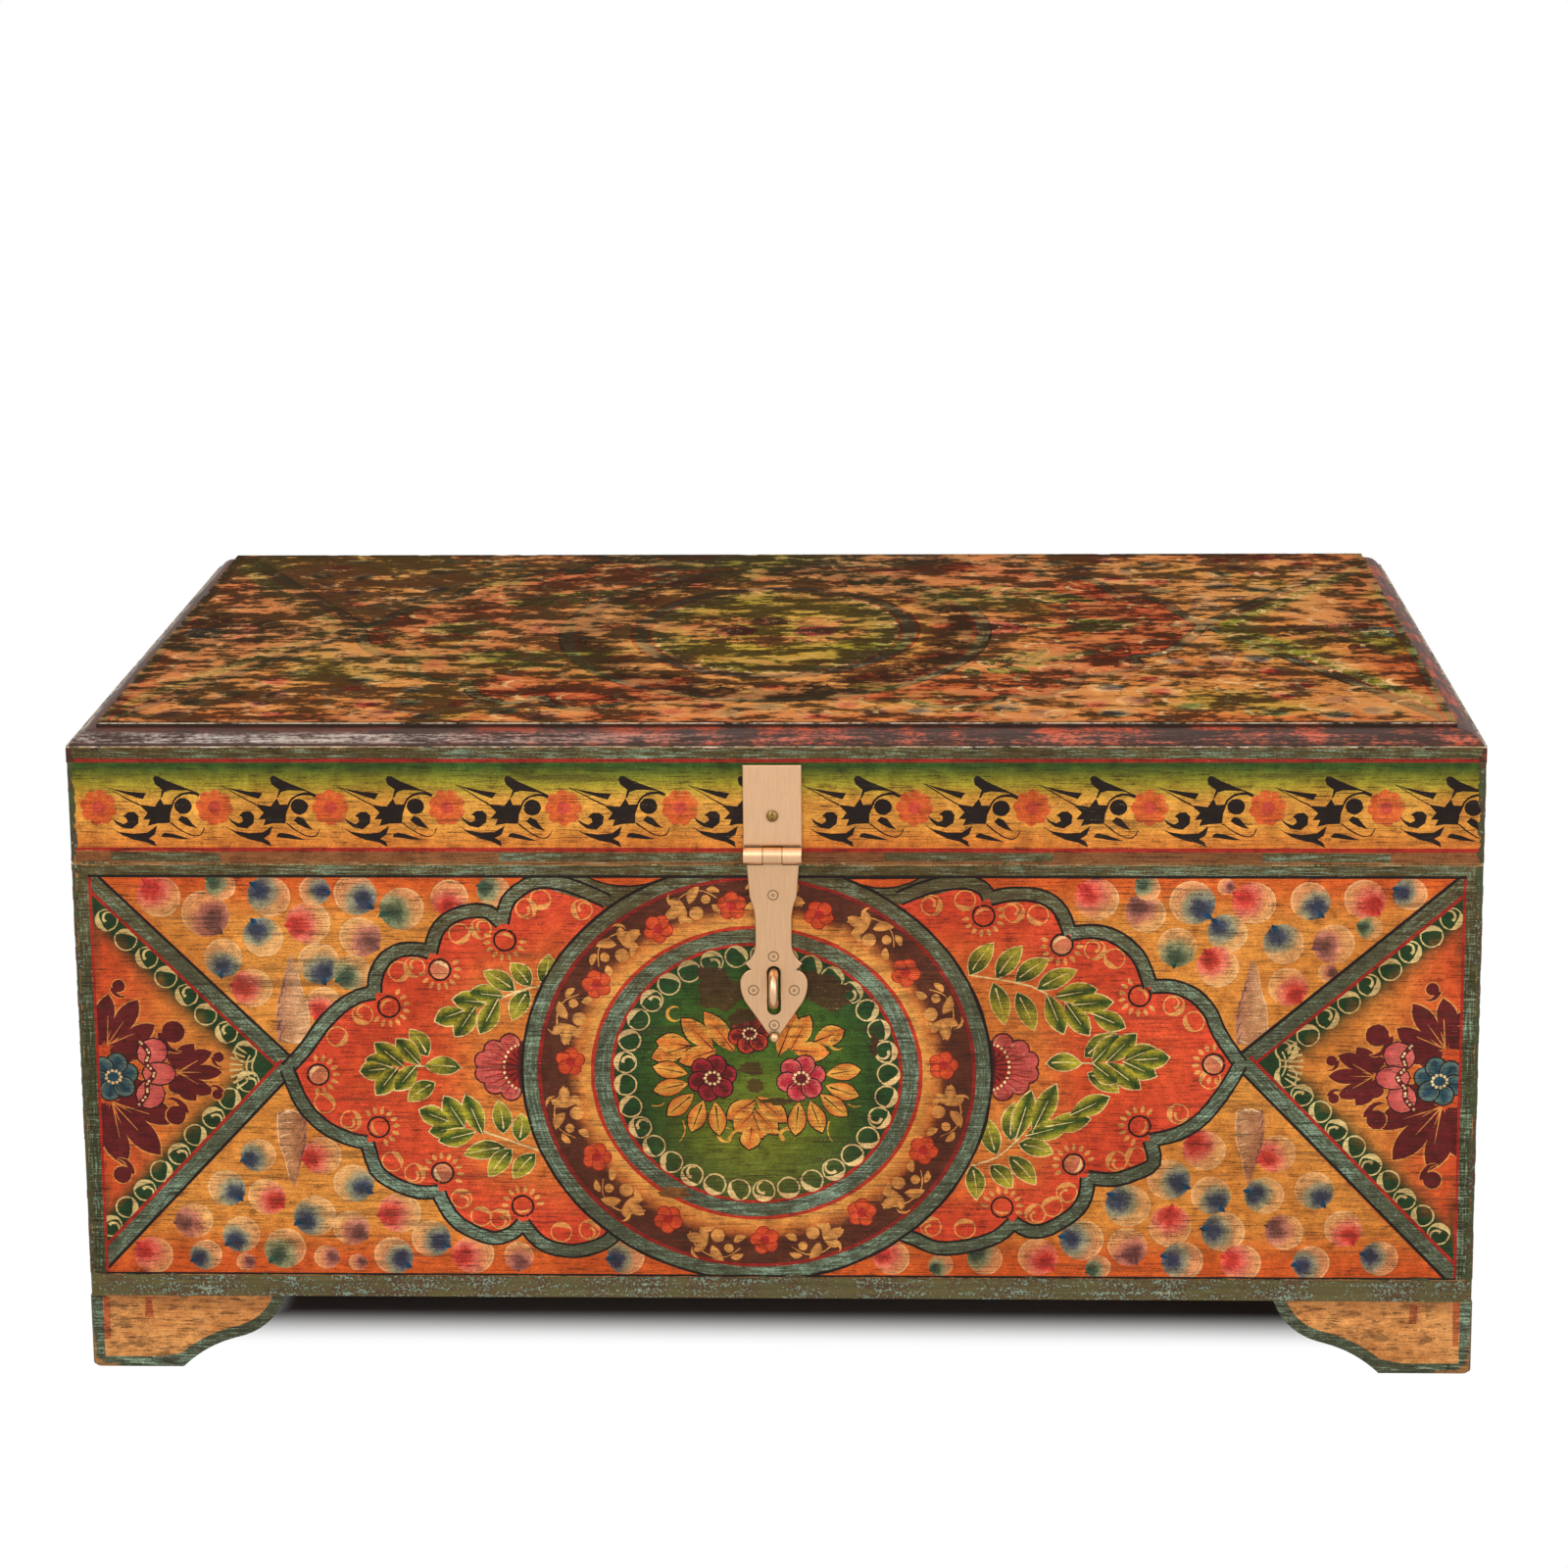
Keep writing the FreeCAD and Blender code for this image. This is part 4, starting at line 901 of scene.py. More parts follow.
def side_field(c, col, s, warp, runs):
    """Berries, quiet curls, leaf sprigs and half flower of a lobed side field."""
    quiet = blend(col["gold"], col["tan"], 0.5)
    cx, cy = warp((CENTRE[0] + s * 150, CENTRE[1]))
    for run in runs[s, 1] + runs[s, -1]:
        for k, i in enumerate(range(4, len(run) - 3, 5)):
            x, y = run[i]
            nx, ny = normal(run[i - 1], run[i + 1], (cx - x, cy - y))
            turn = math.atan2(ny, -s * nx) + 2.2 + k
            curl(Pen(c, x + nx * 10.2, y + ny * 10.2, turn, 6.0, s > 0), quiet, k % 2 == 0)
    for i, spot in enumerate(BERRIES[s]):
        x, y = warp(spot)
        berry(Pen(c, x, y, math.atan2(cy - y, -s * (cx - x)), 1, s > 0), 5.9, i % 2, col)
    for spot, shape in zip(SPRIG_BASES[s], SPRIGS[s]):
        sprig(Pen(c, *warp(spot), 0, 1, s < 0), col, shape)
    half_flower(Pen(c, *warp(HALF_FLOWERS[s]), 0, 1.0, s > 0), col)


def flower_ring(c, col, x, z, across, up):
    """Flowers of a ring with scrolls between them."""
    gold = blend(blend(col["gold"], col["tan"], 0.25), col["brown"], 0.12)
    deep = blend(gold, col["brown"], 0.4)
    petal = blend(col["brick"], col["orange"], 0.35)
    rim = blend(col["red"], col["maroon"], 0.4)
    turns = [math.radians(a) for a in RING_TURNS]
    for i, (a, after) in enumerate(zip(turns, turns[1:] + [turns[0] + TAU])):
        half = (a + after) / 2
        dx, dz = polar(half, across + 4, up + 4)
        ring_scroll(Pen(c, x + dx, z + dz, half), 1 if i % 2 else -1, gold, deep)
    for a in turns:
        dx, dz = polar(a, across, up)
        pen = Pen(c, x + dx, z + dz, a * 1.7)
        for k in range(5):
            pen.dot(*polar(TAU * k / 5, 4.3), 3.6, petal, second=blend(petal, col["red"], 0.4), rim=rim,
                    edge=0.5)
        pen.dot(0, 0, 2.7, col["red"], second=col["rose"])


def medallion(c, col, x, z, outer, inner):
    """Ringed medallion: flower ring outside, green disc with a ring of curls inside."""
    (ox, oz), (ix, iz) = outer, inner

    def ring_shade(px, pz):
        out = max(0.0, 0.94 - math.hypot((px - x) / ox, (pz - z) / oz))
        into = max(0.0, math.hypot((px - x) / ix, (pz - z) / iz) - 1.02)
        t = out / max(1e-6, out + into)
        warm = blend(blend(col["orange"], col["gold"], 0.3), col["gold"], smooth(0.55, 0.95, t))
        return blend(col["brown"], warm, smooth(0.46, 0.70, t))

    def disc_shade(px, pz):
        q = math.hypot((px - x) / ix, (pz - z) / iz) / 0.9
        low = math.hypot((px - x) / ix, (pz - z + 0.45 * iz) / iz)
        base = blend(col["green"], col["dark_green"], smooth(0.55, 0.98, q))
        return blend(base, col["lime"], 0.25 * smooth(0.75, 0.1, low))

    def disc(rx, rz, paint):
        c.lay(oval(x, z, rx, rz, 84), paint, wobble=0.25)

    def teal_disc(rx, rz):
        c.lay(oval(x, z, rx, rz, 84), col["teal"], second=col["teal_light"], kind=BAND,
              local=around(x, z, rx, rz), wobble=0.25)

    disc(ox + 1.6, oz + 1.5, col["ink"])
    teal_disc(ox, oz)
    disc(ox - 7.6, oz - 7.2, blend(col["red"], col["maroon"], 0.5))
    c.ground(oval(x, z, ox - 9.8, oz - 9.3, 84), ring_shade)
    flower_ring(c, col, x, z, (ox - 9 + ix) / 2 - 1.5, (oz - 9 + iz) / 2)
    disc(ix + 2.2, iz + 2.0, blend(col["red"], col["brick"], 0.3))
    teal_disc(ix, iz)
    disc(ix - 8.6, iz - 7.6, col["red"])
    c.ground(oval(x, z, ix - 10.6, iz - 9.4, 72), disc_shade)
    rx, rz = ix - 16.4, iz - 14.8
    count = int(math.pi * (rx + rz) / (size("curl") * 2.04))
    for i in range(count):
        a = TAU * i / count
        dim = 0.12 + 0.3 * smooth(0.3, 0.9, math.sin(a))
        pale = blend(blend(col["cream"], col["gold"], 0.3), col["green"], dim)
        pen = Pen(c, x + rx * math.cos(a), z + rz * math.sin(a), a + (2.9 if i % 3 else 2.2), size("curl"))
        curl(pen, pale, i % 3 == 1)


def bouquet(pen, col):
    """Three flowers among orange leaves and pointed petals."""
    ink = col["ink"]
    gold, deep = blend(col["ochre"], col["yellow"], 0.4), blend(col["orange"], col["ochre"], 0.45)
    for base, tip, points, wide in (
            ((-8.1, 10.7), (-54, 17.6), ((-27.5, 34.3), (-39.9, 30.6), (-56.6, 7.8), (-41.6, 5.6)), 11.5),
            ((8.6, 7.8), (48.3, 24), ((21.9, 34.3), (29.8, 32.4), (40.4, 11)), 11.5),
            ((0, -14), (-4.2, -44.5), ((-16, -26.9), (-11.6, -34.3), (3.4, -38), (11.3, -35.6),
                                       (16.9, -28.7)), 11.0)):
        lobed(pen, base, tip, points, wide, deep, ink, gold)
    for side in (-1, 1):
        pen.line(bow((side * 4, -36), (side * 15, -39), side * 4), 1.4, 1.8, gold)
        pen.crescent(side * 17, -36, 4.6, 2.0, -0.6, side * 4.9, gold)
        pen.crescent(side * 44, 33 if side < 0 else 17, 4.6, 2.0, 0.8, 4.8, gold)
        pen.line(bow((side * 40, -28), (side * 42, -40), side * -2), 0.9, 0.4, gold)
        pen.line(bow((side * 50, -18), (side * 57, -19), side * -1), 0.9, 0.4, gold)
    for x, angles in ((-23.6, (169, 193, 221, 249, 276)), (24.8, (9, -18, -41, -70, -96))):
        for a in (math.radians(d) for d in angles):
            pen.at(x, -3.5).leaf(polar(a, 13.5), polar(a, 33), 9.6, gold, second=deep, rim=ink, edge=0.6,
                                 rib=ink, full=1.15)
    for x, y, r, paint, second in ((-3.0, 22, 11.5, "maroon", "brick"), (-23.6, -3.5, 13.2, "maroon", "rose"),
                                   (24.8, -3.5, 13.2, "rose", "pink")):
        blossom(pen.at(x, y), r, col[paint], blend(col[paint], col[second], 0.6), col, "maroon", 10)


def scatter(c, fits, box, gap, tries):
    """Spots kept apart by a gap, where they fit."""
    left, right, low, high = box
    spots = []
    for _ in range(tries):
        p = (c.rng.uniform(left, right), c.rng.uniform(low, high))
        if fits(p) and all(math.hypot(p[0] - q[0], p[1] - q[1]) > gap for q in spots):
            spots.append(p)
    return spots


def panel(c, col, box, mid, outer, inner, frame_wide, daubs=()):
    """A whole painted panel: frame, crossed straps, lobed fields, daubs and medallion."""
    left, right, low, high = box
    cx, cz = mid
    across = (right - left) / (FRONT_BOX[1] - FRONT_BOX[0])
    rise = (high - low) / (FRONT_BOX[3] - FRONT_BOX[2])

    def warp(p):
        return cx + (p[0] - CENTRE[0]) * across, cz + (p[1] - CENTRE[1]) * rise

    cross = {s: warp(p) for s, p in CROSSING.items()}
    corner = {key: warp(p) for key, p in CORNERS.items()}
    runs = {key: [flowing([warp(p) for p in run]) for run in lobes] for key, lobes in LOBES.items()}
    ends = {s: [corner[s, 1], cross[s], corner[s, -1]] for s in (-1, 1)}
    sides = {s: [p for run in runs[s, 1] for p in run] + [p for run in runs[s, -1][::-1] for p in run[::-1]]
             for s in (-1, 1)}

    def field_shade(x, z):
        edge = min(high - z, z - low)
        near = smooth(120, 20, min(math.hypot(x - p[0], z - p[1]) for p in cross.values()))
        return blend(col["orange"], col["ochre"], max(smooth(9, 34, edge) * 0.85, near * 0.9))

    def side_shade(x, z, outline):
        q = math.hypot((x - cx) / outer[0], (z - cz) / outer[1])
        off = min(reach((x, z), a, b) for a, b in zip(outline, outline[1:]) if a != b)
        warm = blend(col["brick"], col["orange"], 0.35 * smooth(8, 40, off))
        light = smooth(1.44, 1.10, q) * smooth(6, 26, off) * smooth(88 * rise, 36 * rise, abs(z - cz))
        return blend(warm, blend(col["ochre"], col["orange"], 0.3), 0.85 * light)

    def end_shade(x, z, up, middle, down):
        off = min(reach((x, z), up, middle), reach((x, z), down, middle))
        warm = blend(col["brick"], col["orange"], 0.55)
        base = blend(warm, col["ochre"], 0.8 * smooth(6, 60, abs(x - up[0])))
        return blend(base, col["dark_green"], smooth(23, 13, off))

    def free(p):
        if min(p[0] - left, right - p[0], p[1] - low, high - p[1]) < frame_wide + 8:
            return False
        if math.hypot((p[0] - cx) / (outer[0] + 11), (p[1] - cz) / (outer[1] + 11)) < 1:
            return False
        for s in (-1, 1):
            if within(p, ends[s]) or within(p, sides[s]) or abs(p[0] - cross[s][0]) < 15:
                return False
            if min(reach(p, cross[s], corner[s, t]) for t in (-1, 1)) < 13.5:
                return False
            if any(reach(p, a, b) < 13 for a, b in zip(sides[s], sides[s][1:]) if a != b):
                return False
        return True

    c.ground(rectangle(*box), field_shade)
    for s in (-1, 1):
        outline = sides[s]
        c.ground(outline + [(cx, outline[-1][1]), (cx, outline[0][1])],
                 lambda x, z, outline=outline: side_shade(x, z, outline))
        c.ground(ends[s], lambda x, z, s=s: end_shade(x, z, *ends[s]))
    if not daubs:
        daubs = [(x, z, size("daub") * c.rng.uniform(0.85, 1.12), POOLS[i % 6], c.rng.uniform(-3, 3))
                 for i, (x, z) in enumerate(scatter(c, free, box, 23, 5000))]
    for x, z, r, pool, turn in daubs:
        shell_daub(Pen(c, x, z, turn), r, pool, col)
    for x, z, turn, scale in CONCHS:
        conch(Pen(c, *warp((x, z)), turn, scale), col, turn == 0.0)
    top = [warp(p) for p in ((-146, 291), (-130, 279), (-90, 266), (68, 268), (108, 279), (124, 291))]
    c.band(top, col, top[0], top[-1], "olive")
    for x0, z0, x1, z1, fall in LENSES:
        a, b = warp((x0, z0)), warp((x1, z1))
        for grow, paint in ((1.1, "ink"), (0.0, "orange")):
            start, end = (b[0] + grow * 3, b[1] + grow), (a[0] - grow * 3, a[1] + grow)
            c.lay(bow(start, end, -fall * 0.5 + grow * 2, 11), col[paint], wobble=0.05)
    for s in (-1, 1):
        end_field(c, col, s, warp(END_FLOWERS[s]), *ends[s])
        side_field(c, col, s, warp, runs)
        strap(c, col, corner[s, 1], cross[s], s)
        strap(c, col, corner[s, -1], cross[s], -s)
    for key in LOBES:
        lobed_line(c, col, runs[key])
    medallion(c, col, cx, cz, outer, inner)
    bouquet(Pen(c, cx - 0.5, cz + 1.0), col)
    rim_band(c, col, box, frame_wide)


def edge_wear(box, most, wide):
    """Wear of a face that grows towards its edges."""
    left, right, low, high = box
    return lambda x, y: most * smooth(wide, 0, min(x - left, right - x, y - low, high - y))


def ragged(c, x, y, rx, ry, count, least, most):
    """An uneven outline round a spot."""
    return [(x + rx * math.cos(a) * c.rng.uniform(least, most),
             y + ry * math.sin(a) * c.rng.uniform(least, most))
            for a in (TAU * i / count for i in range(count))]


def chips(c, box, count, big):
    """Flakes of paint gone along the edges of a face."""
    left, right, low, high = box
    for _ in range(count):
        side = c.rng.choice("lrlrtb")
        x = {"l": left, "r": right}.get(side, c.rng.uniform(left, right))
        y = {"b": low, "t": high}.get(side, c.rng.uniform(low, high))
        r = big * c.rng.uniform(0.15, 1.0) ** 2 + 0.4
        flat = c.rng.uniform(1.0, 3.0) if side in "tb" else 0.8
        tall = c.rng.uniform(1.0, 2.4) if side in "lr" else 0.55
        c.chip(ragged(c, x, y, r * flat, r * tall, 9, 0.6, 1.2))


def lid_band(c, col, box, first, skip=None):
    """Stencilled band of the lid: tulips and flowers between red lines."""
    left, right, low, high = box
    tall = high - low
    start, end = (left, low), (right, low)
    dark, pale = blend(col["green"], col["dark_green"], 0.35), blend(col["lime"], col["green"], 0.3)
    ripe, warm = blend(col["ochre"], col["yellow"], 0.3), blend(col["ochre"], col["orange"], 0.4)

    def shade(x, z):
        t = (high - z) / tall
        base = blend(dark, pale, smooth(0.17, 0.32, t))
        base = blend(base, ripe, smooth(0.28, 0.50, t))
        return blend(base, warm, smooth(0.60, 0.88, t))

    def stripe(bottom, top):
        return rectangle(left, right, low + tall * bottom, low + tall * top)

    c.ground(rectangle(*box), shade)
    middle, pitch = low + tall * 0.42, size("pitch")
    x = first
    while x < right - 10:
        if x - pitch / 2 > left + 4 and not (skip and abs(x - pitch / 2) < skip):
            band_flower(Pen(c, x - pitch / 2 - 1, middle + 4.0, c.rng.uniform(0, 1)), col)
        stencil(Pen(c, x, middle, c.rng.uniform(-0.05, 0.05), 0.97), col["ink"])
        x += pitch
    c.lay(stripe(0.87, 0.903), blend(col["red"], col["maroon"], 0.35), wobble=0)
    c.band(stripe(0.903, 1.0), col, start, end, "olive", wobble=0)
    c.lay(stripe(0.10, 0.135), col["red"], wobble=0)
    worn = blend(blend(col["brown"], col["varnish"], 0.5), col["bare"], 0.4)
    c.lay(stripe(0.0, 0.10), worn, wobble=0)
    for near, far in ((-358, -299), (-148, -17), (60, 150), (262, 330)):
        if near > left and far < right:
            c.band(ribbon([(near, low + tall * 0.055), (far, low + tall * 0.05)], tall * 0.075), col,
                   start, end, wobble=0.4)


def end_panel(c, col, box):
    """Painting of a chest end: straps from the corners to a small medallion, and daubs."""
    left, right, low, high = box
    cx, cz = (left + right) / 2, (low + high) / 2 - 2
    corner = {(-1, 1): (left + 5, high - 6), (1, 1): (right - 5, high - 6),
              (1, -1): (right - 5, low + 4), (-1, -1): (left + 5, low + 4)}

    def beside(p):
        return abs(p[0] - cx) * (high - low) > abs(p[1] - cz) * (right - left)

    def from_strap(p):
        return min(reach(p, q, (cx, cz)) for q in corner.values())

    def shade(x, z):
        edge = min(high - z, z - low, x - left, right - x)
        base = blend(col["orange"], col["ochre"], smooth(8, 50, edge))
        if not beside((x, z)):
            return base
        return blend(base, col["dark_green"], 0.9 * smooth(22, 11, from_strap((x, z))))

    def free(p):
        if min(p[0] - left, right - p[0], p[1] - low, high - p[1]) < 17:
            return False
        if math.hypot((p[0] - cx) / 96, (p[1] - cz) / 92) < 1:
            return False
        return not beside(p) and from_strap(p) > 14

    c.ground(rectangle(*box), shade)
    for i, (x, z) in enumerate(scatter(c, free, box, 22.5, 3000)):
        shell_daub(Pen(c, x, z, c.rng.uniform(0, TAU)), size("daub") * c.rng.uniform(0.85, 1.12),
                   POOLS[i % 6], col)
    gold = blend(col["ochre"], col["tan"], 0.3)
    for s in (-1, 1):
        pen = Pen(c, cx + s * 184, cz, 0, 1, s > 0)
        for x, y, turn, far in ((30, 0, 0.0, 26), (12, 14, 0.9, 27), (12, -14, -0.9, 27)):
            palmette(pen.at(x, y, turn), far, col["maroon"], gold)
        blossom(pen, 14, col["blue"], blend(col["blue"], col["teal_light"], 0.35), col, "blue", 9)
        for t in (-1, 1):
            x0, z0 = corner[s, t]
            for k in range(8):
                f = 0.10 + 0.40 * k / 7
                x, z = x0 + (cx - x0) * f, z0 + (cz - z0) * f
                pen = Pen(c, x + s * 5.5, z - t * 10.0, 2.4 * t, size("curl"), s > 0)
                curl(pen, col["cream"], k % 2 == 0)
    for p in corner.values():
        strap(c, col, p, (cx, cz))
    medallion(c, col, cx, cz, END_RING, END_DISC)
    rim_band(c, col, box, size("frame"))


def bracket(c, col, mirror):
    """Ochre face of a foot bracket with a teal border along its ogee edge."""
    top, side = FOOT_TALL - FOOT_GAP, 0.6
    middle = (OGEE_MIDDLE, OGEE_RISE)
    ogee = (bow((FOOT_BASE, FOOT_GAP), middle, OGEE_HOLLOW, 9)[:-1]
            + bow(middle, (FOOT_LONG, top), -OGEE_SWELL, 9))
    warm = blend(blend(col["ochre"], col["orange"], 0.1), blend(col["tan"], col["cream"], 0.2), 0.5)
    drip = blend(col["brick"], col["brown"], 0.5)

    def turn(points):
        return [(-x, y) for x, y in points][::-1] if mirror else points

    def shade(x, y):
        grime = 0.40 * smooth(FOOT_TALL - 9, FOOT_TALL - 3, y) + 0.2 * smooth(20, 2, y)
        return blend(warm, col["brown"], grime)

    outline = [(side, 2.6), (1.6, 1.2), (3.4, FOOT_GAP)] + ogee + [(side, top)]
    c.ground(turn(outline), shade)
    c.lay(turn(rectangle(6.5, 10.2, 16, FOOT_TALL - 1)), drip, cover=0.7, wobble=0.5)
    c.lay(turn(rectangle(30, 34.0, 29, FOOT_TALL - 1)), drip, cover=0.7, wobble=0.6)
    offset = ribbon(ogee, 2 * FOOT_BORDER)[:len(ogee)]
    edge = [(FOOT_BORDER, 6.0), (38.0, 6.0)] + [p for p in offset if 6.0 < p[1] < top + 0.1]
    border = (outline[:-1] + [(edge[-1][0] + 0.4, top)] + edge[::-1] + [(FOOT_BORDER, top), (side, top)])
    c.band(turn(border), col, (0, 0), (1.0, 0), wobble=0)


# Shader sockets

def operation(name, swapped=False):
    """A method of arithmetic that adds one Math node."""
    def method(self, other):
        return self.math(name, *((other, self) if swapped else (self, other)))

    return method


class Socket:
    """One node output. Arithmetic adds Math nodes, and add() any other node."""

    def __init__(self, tree, out):
        self.tree, self.out = tree, out

    def add(self, kind, settings=None, inputs=None, out=0):
        """A new node: its settings first, then the values and links of its sockets."""
        node = self.tree.nodes.new("ShaderNode" + kind)
        for key, value in (settings or {}).items():
            setattr(node, key, value)
        for key, value in (inputs or {}).items():
            if isinstance(value, Socket):
                self.tree.links.new(value.out, node.inputs[key])
            elif isinstance(value, tuple) and len(value) == 3 and node.inputs[key].type == "RGBA":
                node.inputs[key].default_value = (*value, 1.0)
            else:
                node.inputs[key].default_value = value
        return Socket(self.tree, node.outputs[out] if node.outputs else None)

    def other(self, out):
        """Another output of the same node."""
        return Socket(self.tree, self.out.node.outputs[out])

    def math(self, name, *terms):
        """A Math node on numbers and sockets."""
        return self.add("Math", {"operation": name}, dict(enumerate(terms)))

    def __abs__(self):
        return self.math("ABSOLUTE", self)

    __add__, __radd__ = operation("ADD"), operation("ADD", True)
    __sub__, __rsub__ = operation("SUBTRACT"), operation("SUBTRACT", True)
    __mul__, __rmul__ = operation("MULTIPLY"), operation("MULTIPLY", True)
    __pow__, __rpow__ = operation("POWER"), operation("POWER", True)
    __gt__, __lt__ = operation("GREATER_THAN"), operation("LESS_THAN")


def begin(name):
    """A new material with its object coordinates."""
    material = bpy.data.materials.new(name)
    material.use_nodes = True
    material.node_tree.nodes.clear()
    place = Socket(material.node_tree, None).add("TexCoord", out="Object")
    return material, place


def stretch(p, x, y, z):
    """Coordinates scaled along each axis."""
    return p.add("VectorMath", {"operation": "MULTIPLY"}, {0: p, 1: (x, y, z)})


def noise(p, scale=1.0, detail=3.0, rough=0.55):
    """Fractal noise at coordinates."""
    return p.add("TexNoise", {}, {"Vector": p, "Scale": scale, "Detail": detail, "Roughness": rough})


def step(value, low, high):
    """Share from 0 at low to 1 at high, smooth between."""
    return value.add("MapRange", {"interpolation_type": "SMOOTHSTEP"}, {0: value, 1: low, 2: high})


def mixed(share, a, b):
    """A colour between two."""
    return share.add("Mix", {"data_type": "RGBA"}, {0: share, 6: a, 7: b}, out=2)


def scaled(colour, factor):
    """A colour made lighter or darker."""
    return factor.add("VectorMath", {"operation": "SCALE"}, {0: colour, 3: factor})


def split(p):
    """The three parts of coordinates."""
    x = p.add("SeparateXYZ", {}, {0: p})
    return x, x.other(1), x.other(2)


def close(p, material, colour, rough, height, depth, metal=0.0, specular=0.5):
    """Principled surface from the varying sockets."""
    bump = p.add("Bump", {}, {"Strength": 0.6, "Distance": depth, "Height": height})
    shader = p.add("BsdfPrincipled", {}, {"Base Color": colour, "Roughness": rough, "Metallic": metal,
                                          "Specular IOR Level": specular, "Normal": bump})
    p.add("OutputMaterial", {}, {"Surface": shader})
    return material


# Finishes

def brushed(p, col, grain, speck, cloud, mottle):
    """Colour of the strokes over their ground: plain, ribbed and streaked strokes, and shells."""
    paint = p.add("Attribute", {"attribute_name": "paint"})
    second = p.add("Attribute", {"attribute_name": "second"})
    ground = p.add("Attribute", {"attribute_name": "ground"})
    kind = second.other("Alpha")
    brush = p.add("UVMap", {"uv_map": "brush"})
    u, v, _ = split(brush)
    rib = p.math("COMPARE", kind, RIB, 0.5)
    shell = p.math("COMPARE", kind, SHELL, 0.5)
    band = p.math("COMPARE", kind, BAND, 0.5)

    flow = noise(stretch(brush, 0.06, 0.9, 1.0), 1.0, 4.0, 0.7)
    streak = step(flow + (grain - 0.5) * 0.9 + (speck - 0.5) * 0.4 + (cloud - 0.5) * 0.5, 0.49, 0.69)
    run = step((1 - rib) * u + rib * abs(v) + (speck - 0.5) * 0.5 + (mottle - 0.5) * 0.4, 0.05, 1.0)
    share = (1 - band) * run + band * streak

    far = (u * u + v * v) ** 0.5
    spot = ((u - 0.50) ** 2.0 + v * v) ** 0.5 + (mottle - 0.5) * 0.6 + (speck - 0.5) * 0.3
    core, pool, halo = step(spot, 0.60, 0.10), step(spot, 0.80, 0.26), step(spot, 1.30, 0.66)
    arcs = step(p.math("SINE", far * 46.0 + mottle * 9.0), 0.0, 0.9) * step(far, 0.25, 0.60)
    rim = step(far, 0.86, 0.96) * step(u, 0.50, -0.1)
    film = p.math("MAXIMUM", p.math("MAXIMUM", arcs * 0.70, halo * 0.92), p.math("MAXIMUM", rim * 0.85, 0.40))
    cover = paint.other("Alpha") * ((1 - shell) + shell * film)
    daub = mixed(halo, blend(col["cream"], col["tan"], 0.5), mixed(pool, paint, second))
    tint = mixed(shell, mixed(share, paint, second), daub)

    _, _, z = split(p)
    old = step(z + (cloud - 0.5) * 0.12, 0.17, 0.29)
    faded = mixed(share * 0.66, blend(col["olive"], col["bare"], 0.12), col["teal_light"])
    tint = mixed(band * old * 0.85, tint, faded)
    return scaled(mixed(cover, ground, tint), 1 - 0.40 * shell * core), ground.other("Alpha")


def painted(name, fine, soot, worn, grime):
    """Old paint under varnish: reads the strokes' colours and adds grain, wear and grime."""
    col = colours()
    heavy = grime > HEAVY_GRIME
    material, p = begin(name)
    grain = noise(stretch(p, *fine), 1.0, 5.0, 0.66)
    coarse = noise(stretch(p, *soot), 1.0, 6.0, 0.68)
    speck = noise(p, 1300.0, 2.0, 0.65)
    cloud = noise(p, 15.0, 4.0, 0.6)
    mottle = noise(p, 130.0, 4.0, 0.65)
    colour, edge = brushed(p, col, grain, speck, cloud, mottle)

    glaze = mixed(step(cloud + (mottle - 0.5) * 0.6, 0.32, 0.70), (0.72, 0.56, 0.46), (0.98, 0.90, 0.84))
    colour = p.add("VectorMath", {"operation": "MULTIPLY"}, {0: colour, 1: glaze})
    colour = scaled(colour, (0.15 + 1.70 * grain) * (0.42 + 1.16 * speck) * (0.58 + 0.84 * mottle))
    cracks = step(grain + (mottle - 0.5) * 0.25 + (speck - 0.5) * 0.2, 0.43, 0.34)
    colour = mixed(cracks * 0.66, colour, col["umber"])

    lean = 0.0
    if heavy:
        patch = noise(p, 8.0, 3.0, 0.6) + (mottle - 0.5) * 0.3
        colour = mixed(step(patch, 0.52, 0.64) * 0.5, colour, blend(col["lime"], col["green"], 0.45))
        colour = mixed(step(patch, 0.46, 0.36) * 0.4, colour, blend(col["brick"], col["brown"], 0.5))
        faded = step(coarse + (speck - 0.5) * 0.5 + (cloud - 0.5) * 0.8, 0.52, 0.40)
        colour = mixed(faded * 0.45, colour, blend(col["tan"], col["bare"], 0.4))
        x, y, _ = split(p)
        lean = y * 0.16 - x * 0.10 + 0.010
    low = 0.64 - 0.190 * grime
    dirt = step(coarse + (cloud - 0.5) * 0.35 + (mottle - 0.5) * 0.40 + (grain - 0.5) * 0.45 + lean,
                low, low + 0.075)
    soils = [tuple(v * (1 - 0.35 * grime) for v in blend(col["umber"], col[k], part))
             for k, part in (("olive", 0.30), ("brown", 0.25))]
    colour = mixed(dirt * (0.40 + 0.52 * grime), colour, mixed(step(cloud, 0.38, 0.62), *soils))
    pale = step(grain * 0.6 + speck * 0.4, 0.60, 0.66) * step(cloud, 0.45, 0.62)
    colour = mixed(pale * 0.30, colour, col["cream"])

    gone = step(coarse * 0.45 + grain * 0.35 + mottle * 0.2 + edge * 0.42 + (speck - 0.5) * 0.25,
                0.76 - 0.10 * worn, 0.82 - 0.08 * worn)
    wood = mixed(step(grain, 0.35, 0.65), blend(col["bare"], col["umber"], 0.6), col["bare"])
    colour = mixed(gone * 0.85, colour, wood)
    rough = 0.5 + 0.25 * grain + 0.12 * gone
    height = grain * 0.8 + speck * 0.2 - cracks * 0.5 - gone * 0.3
    return close(p, material, colour, rough, height, 0.0005, specular=0.004 if heavy else 0.16)


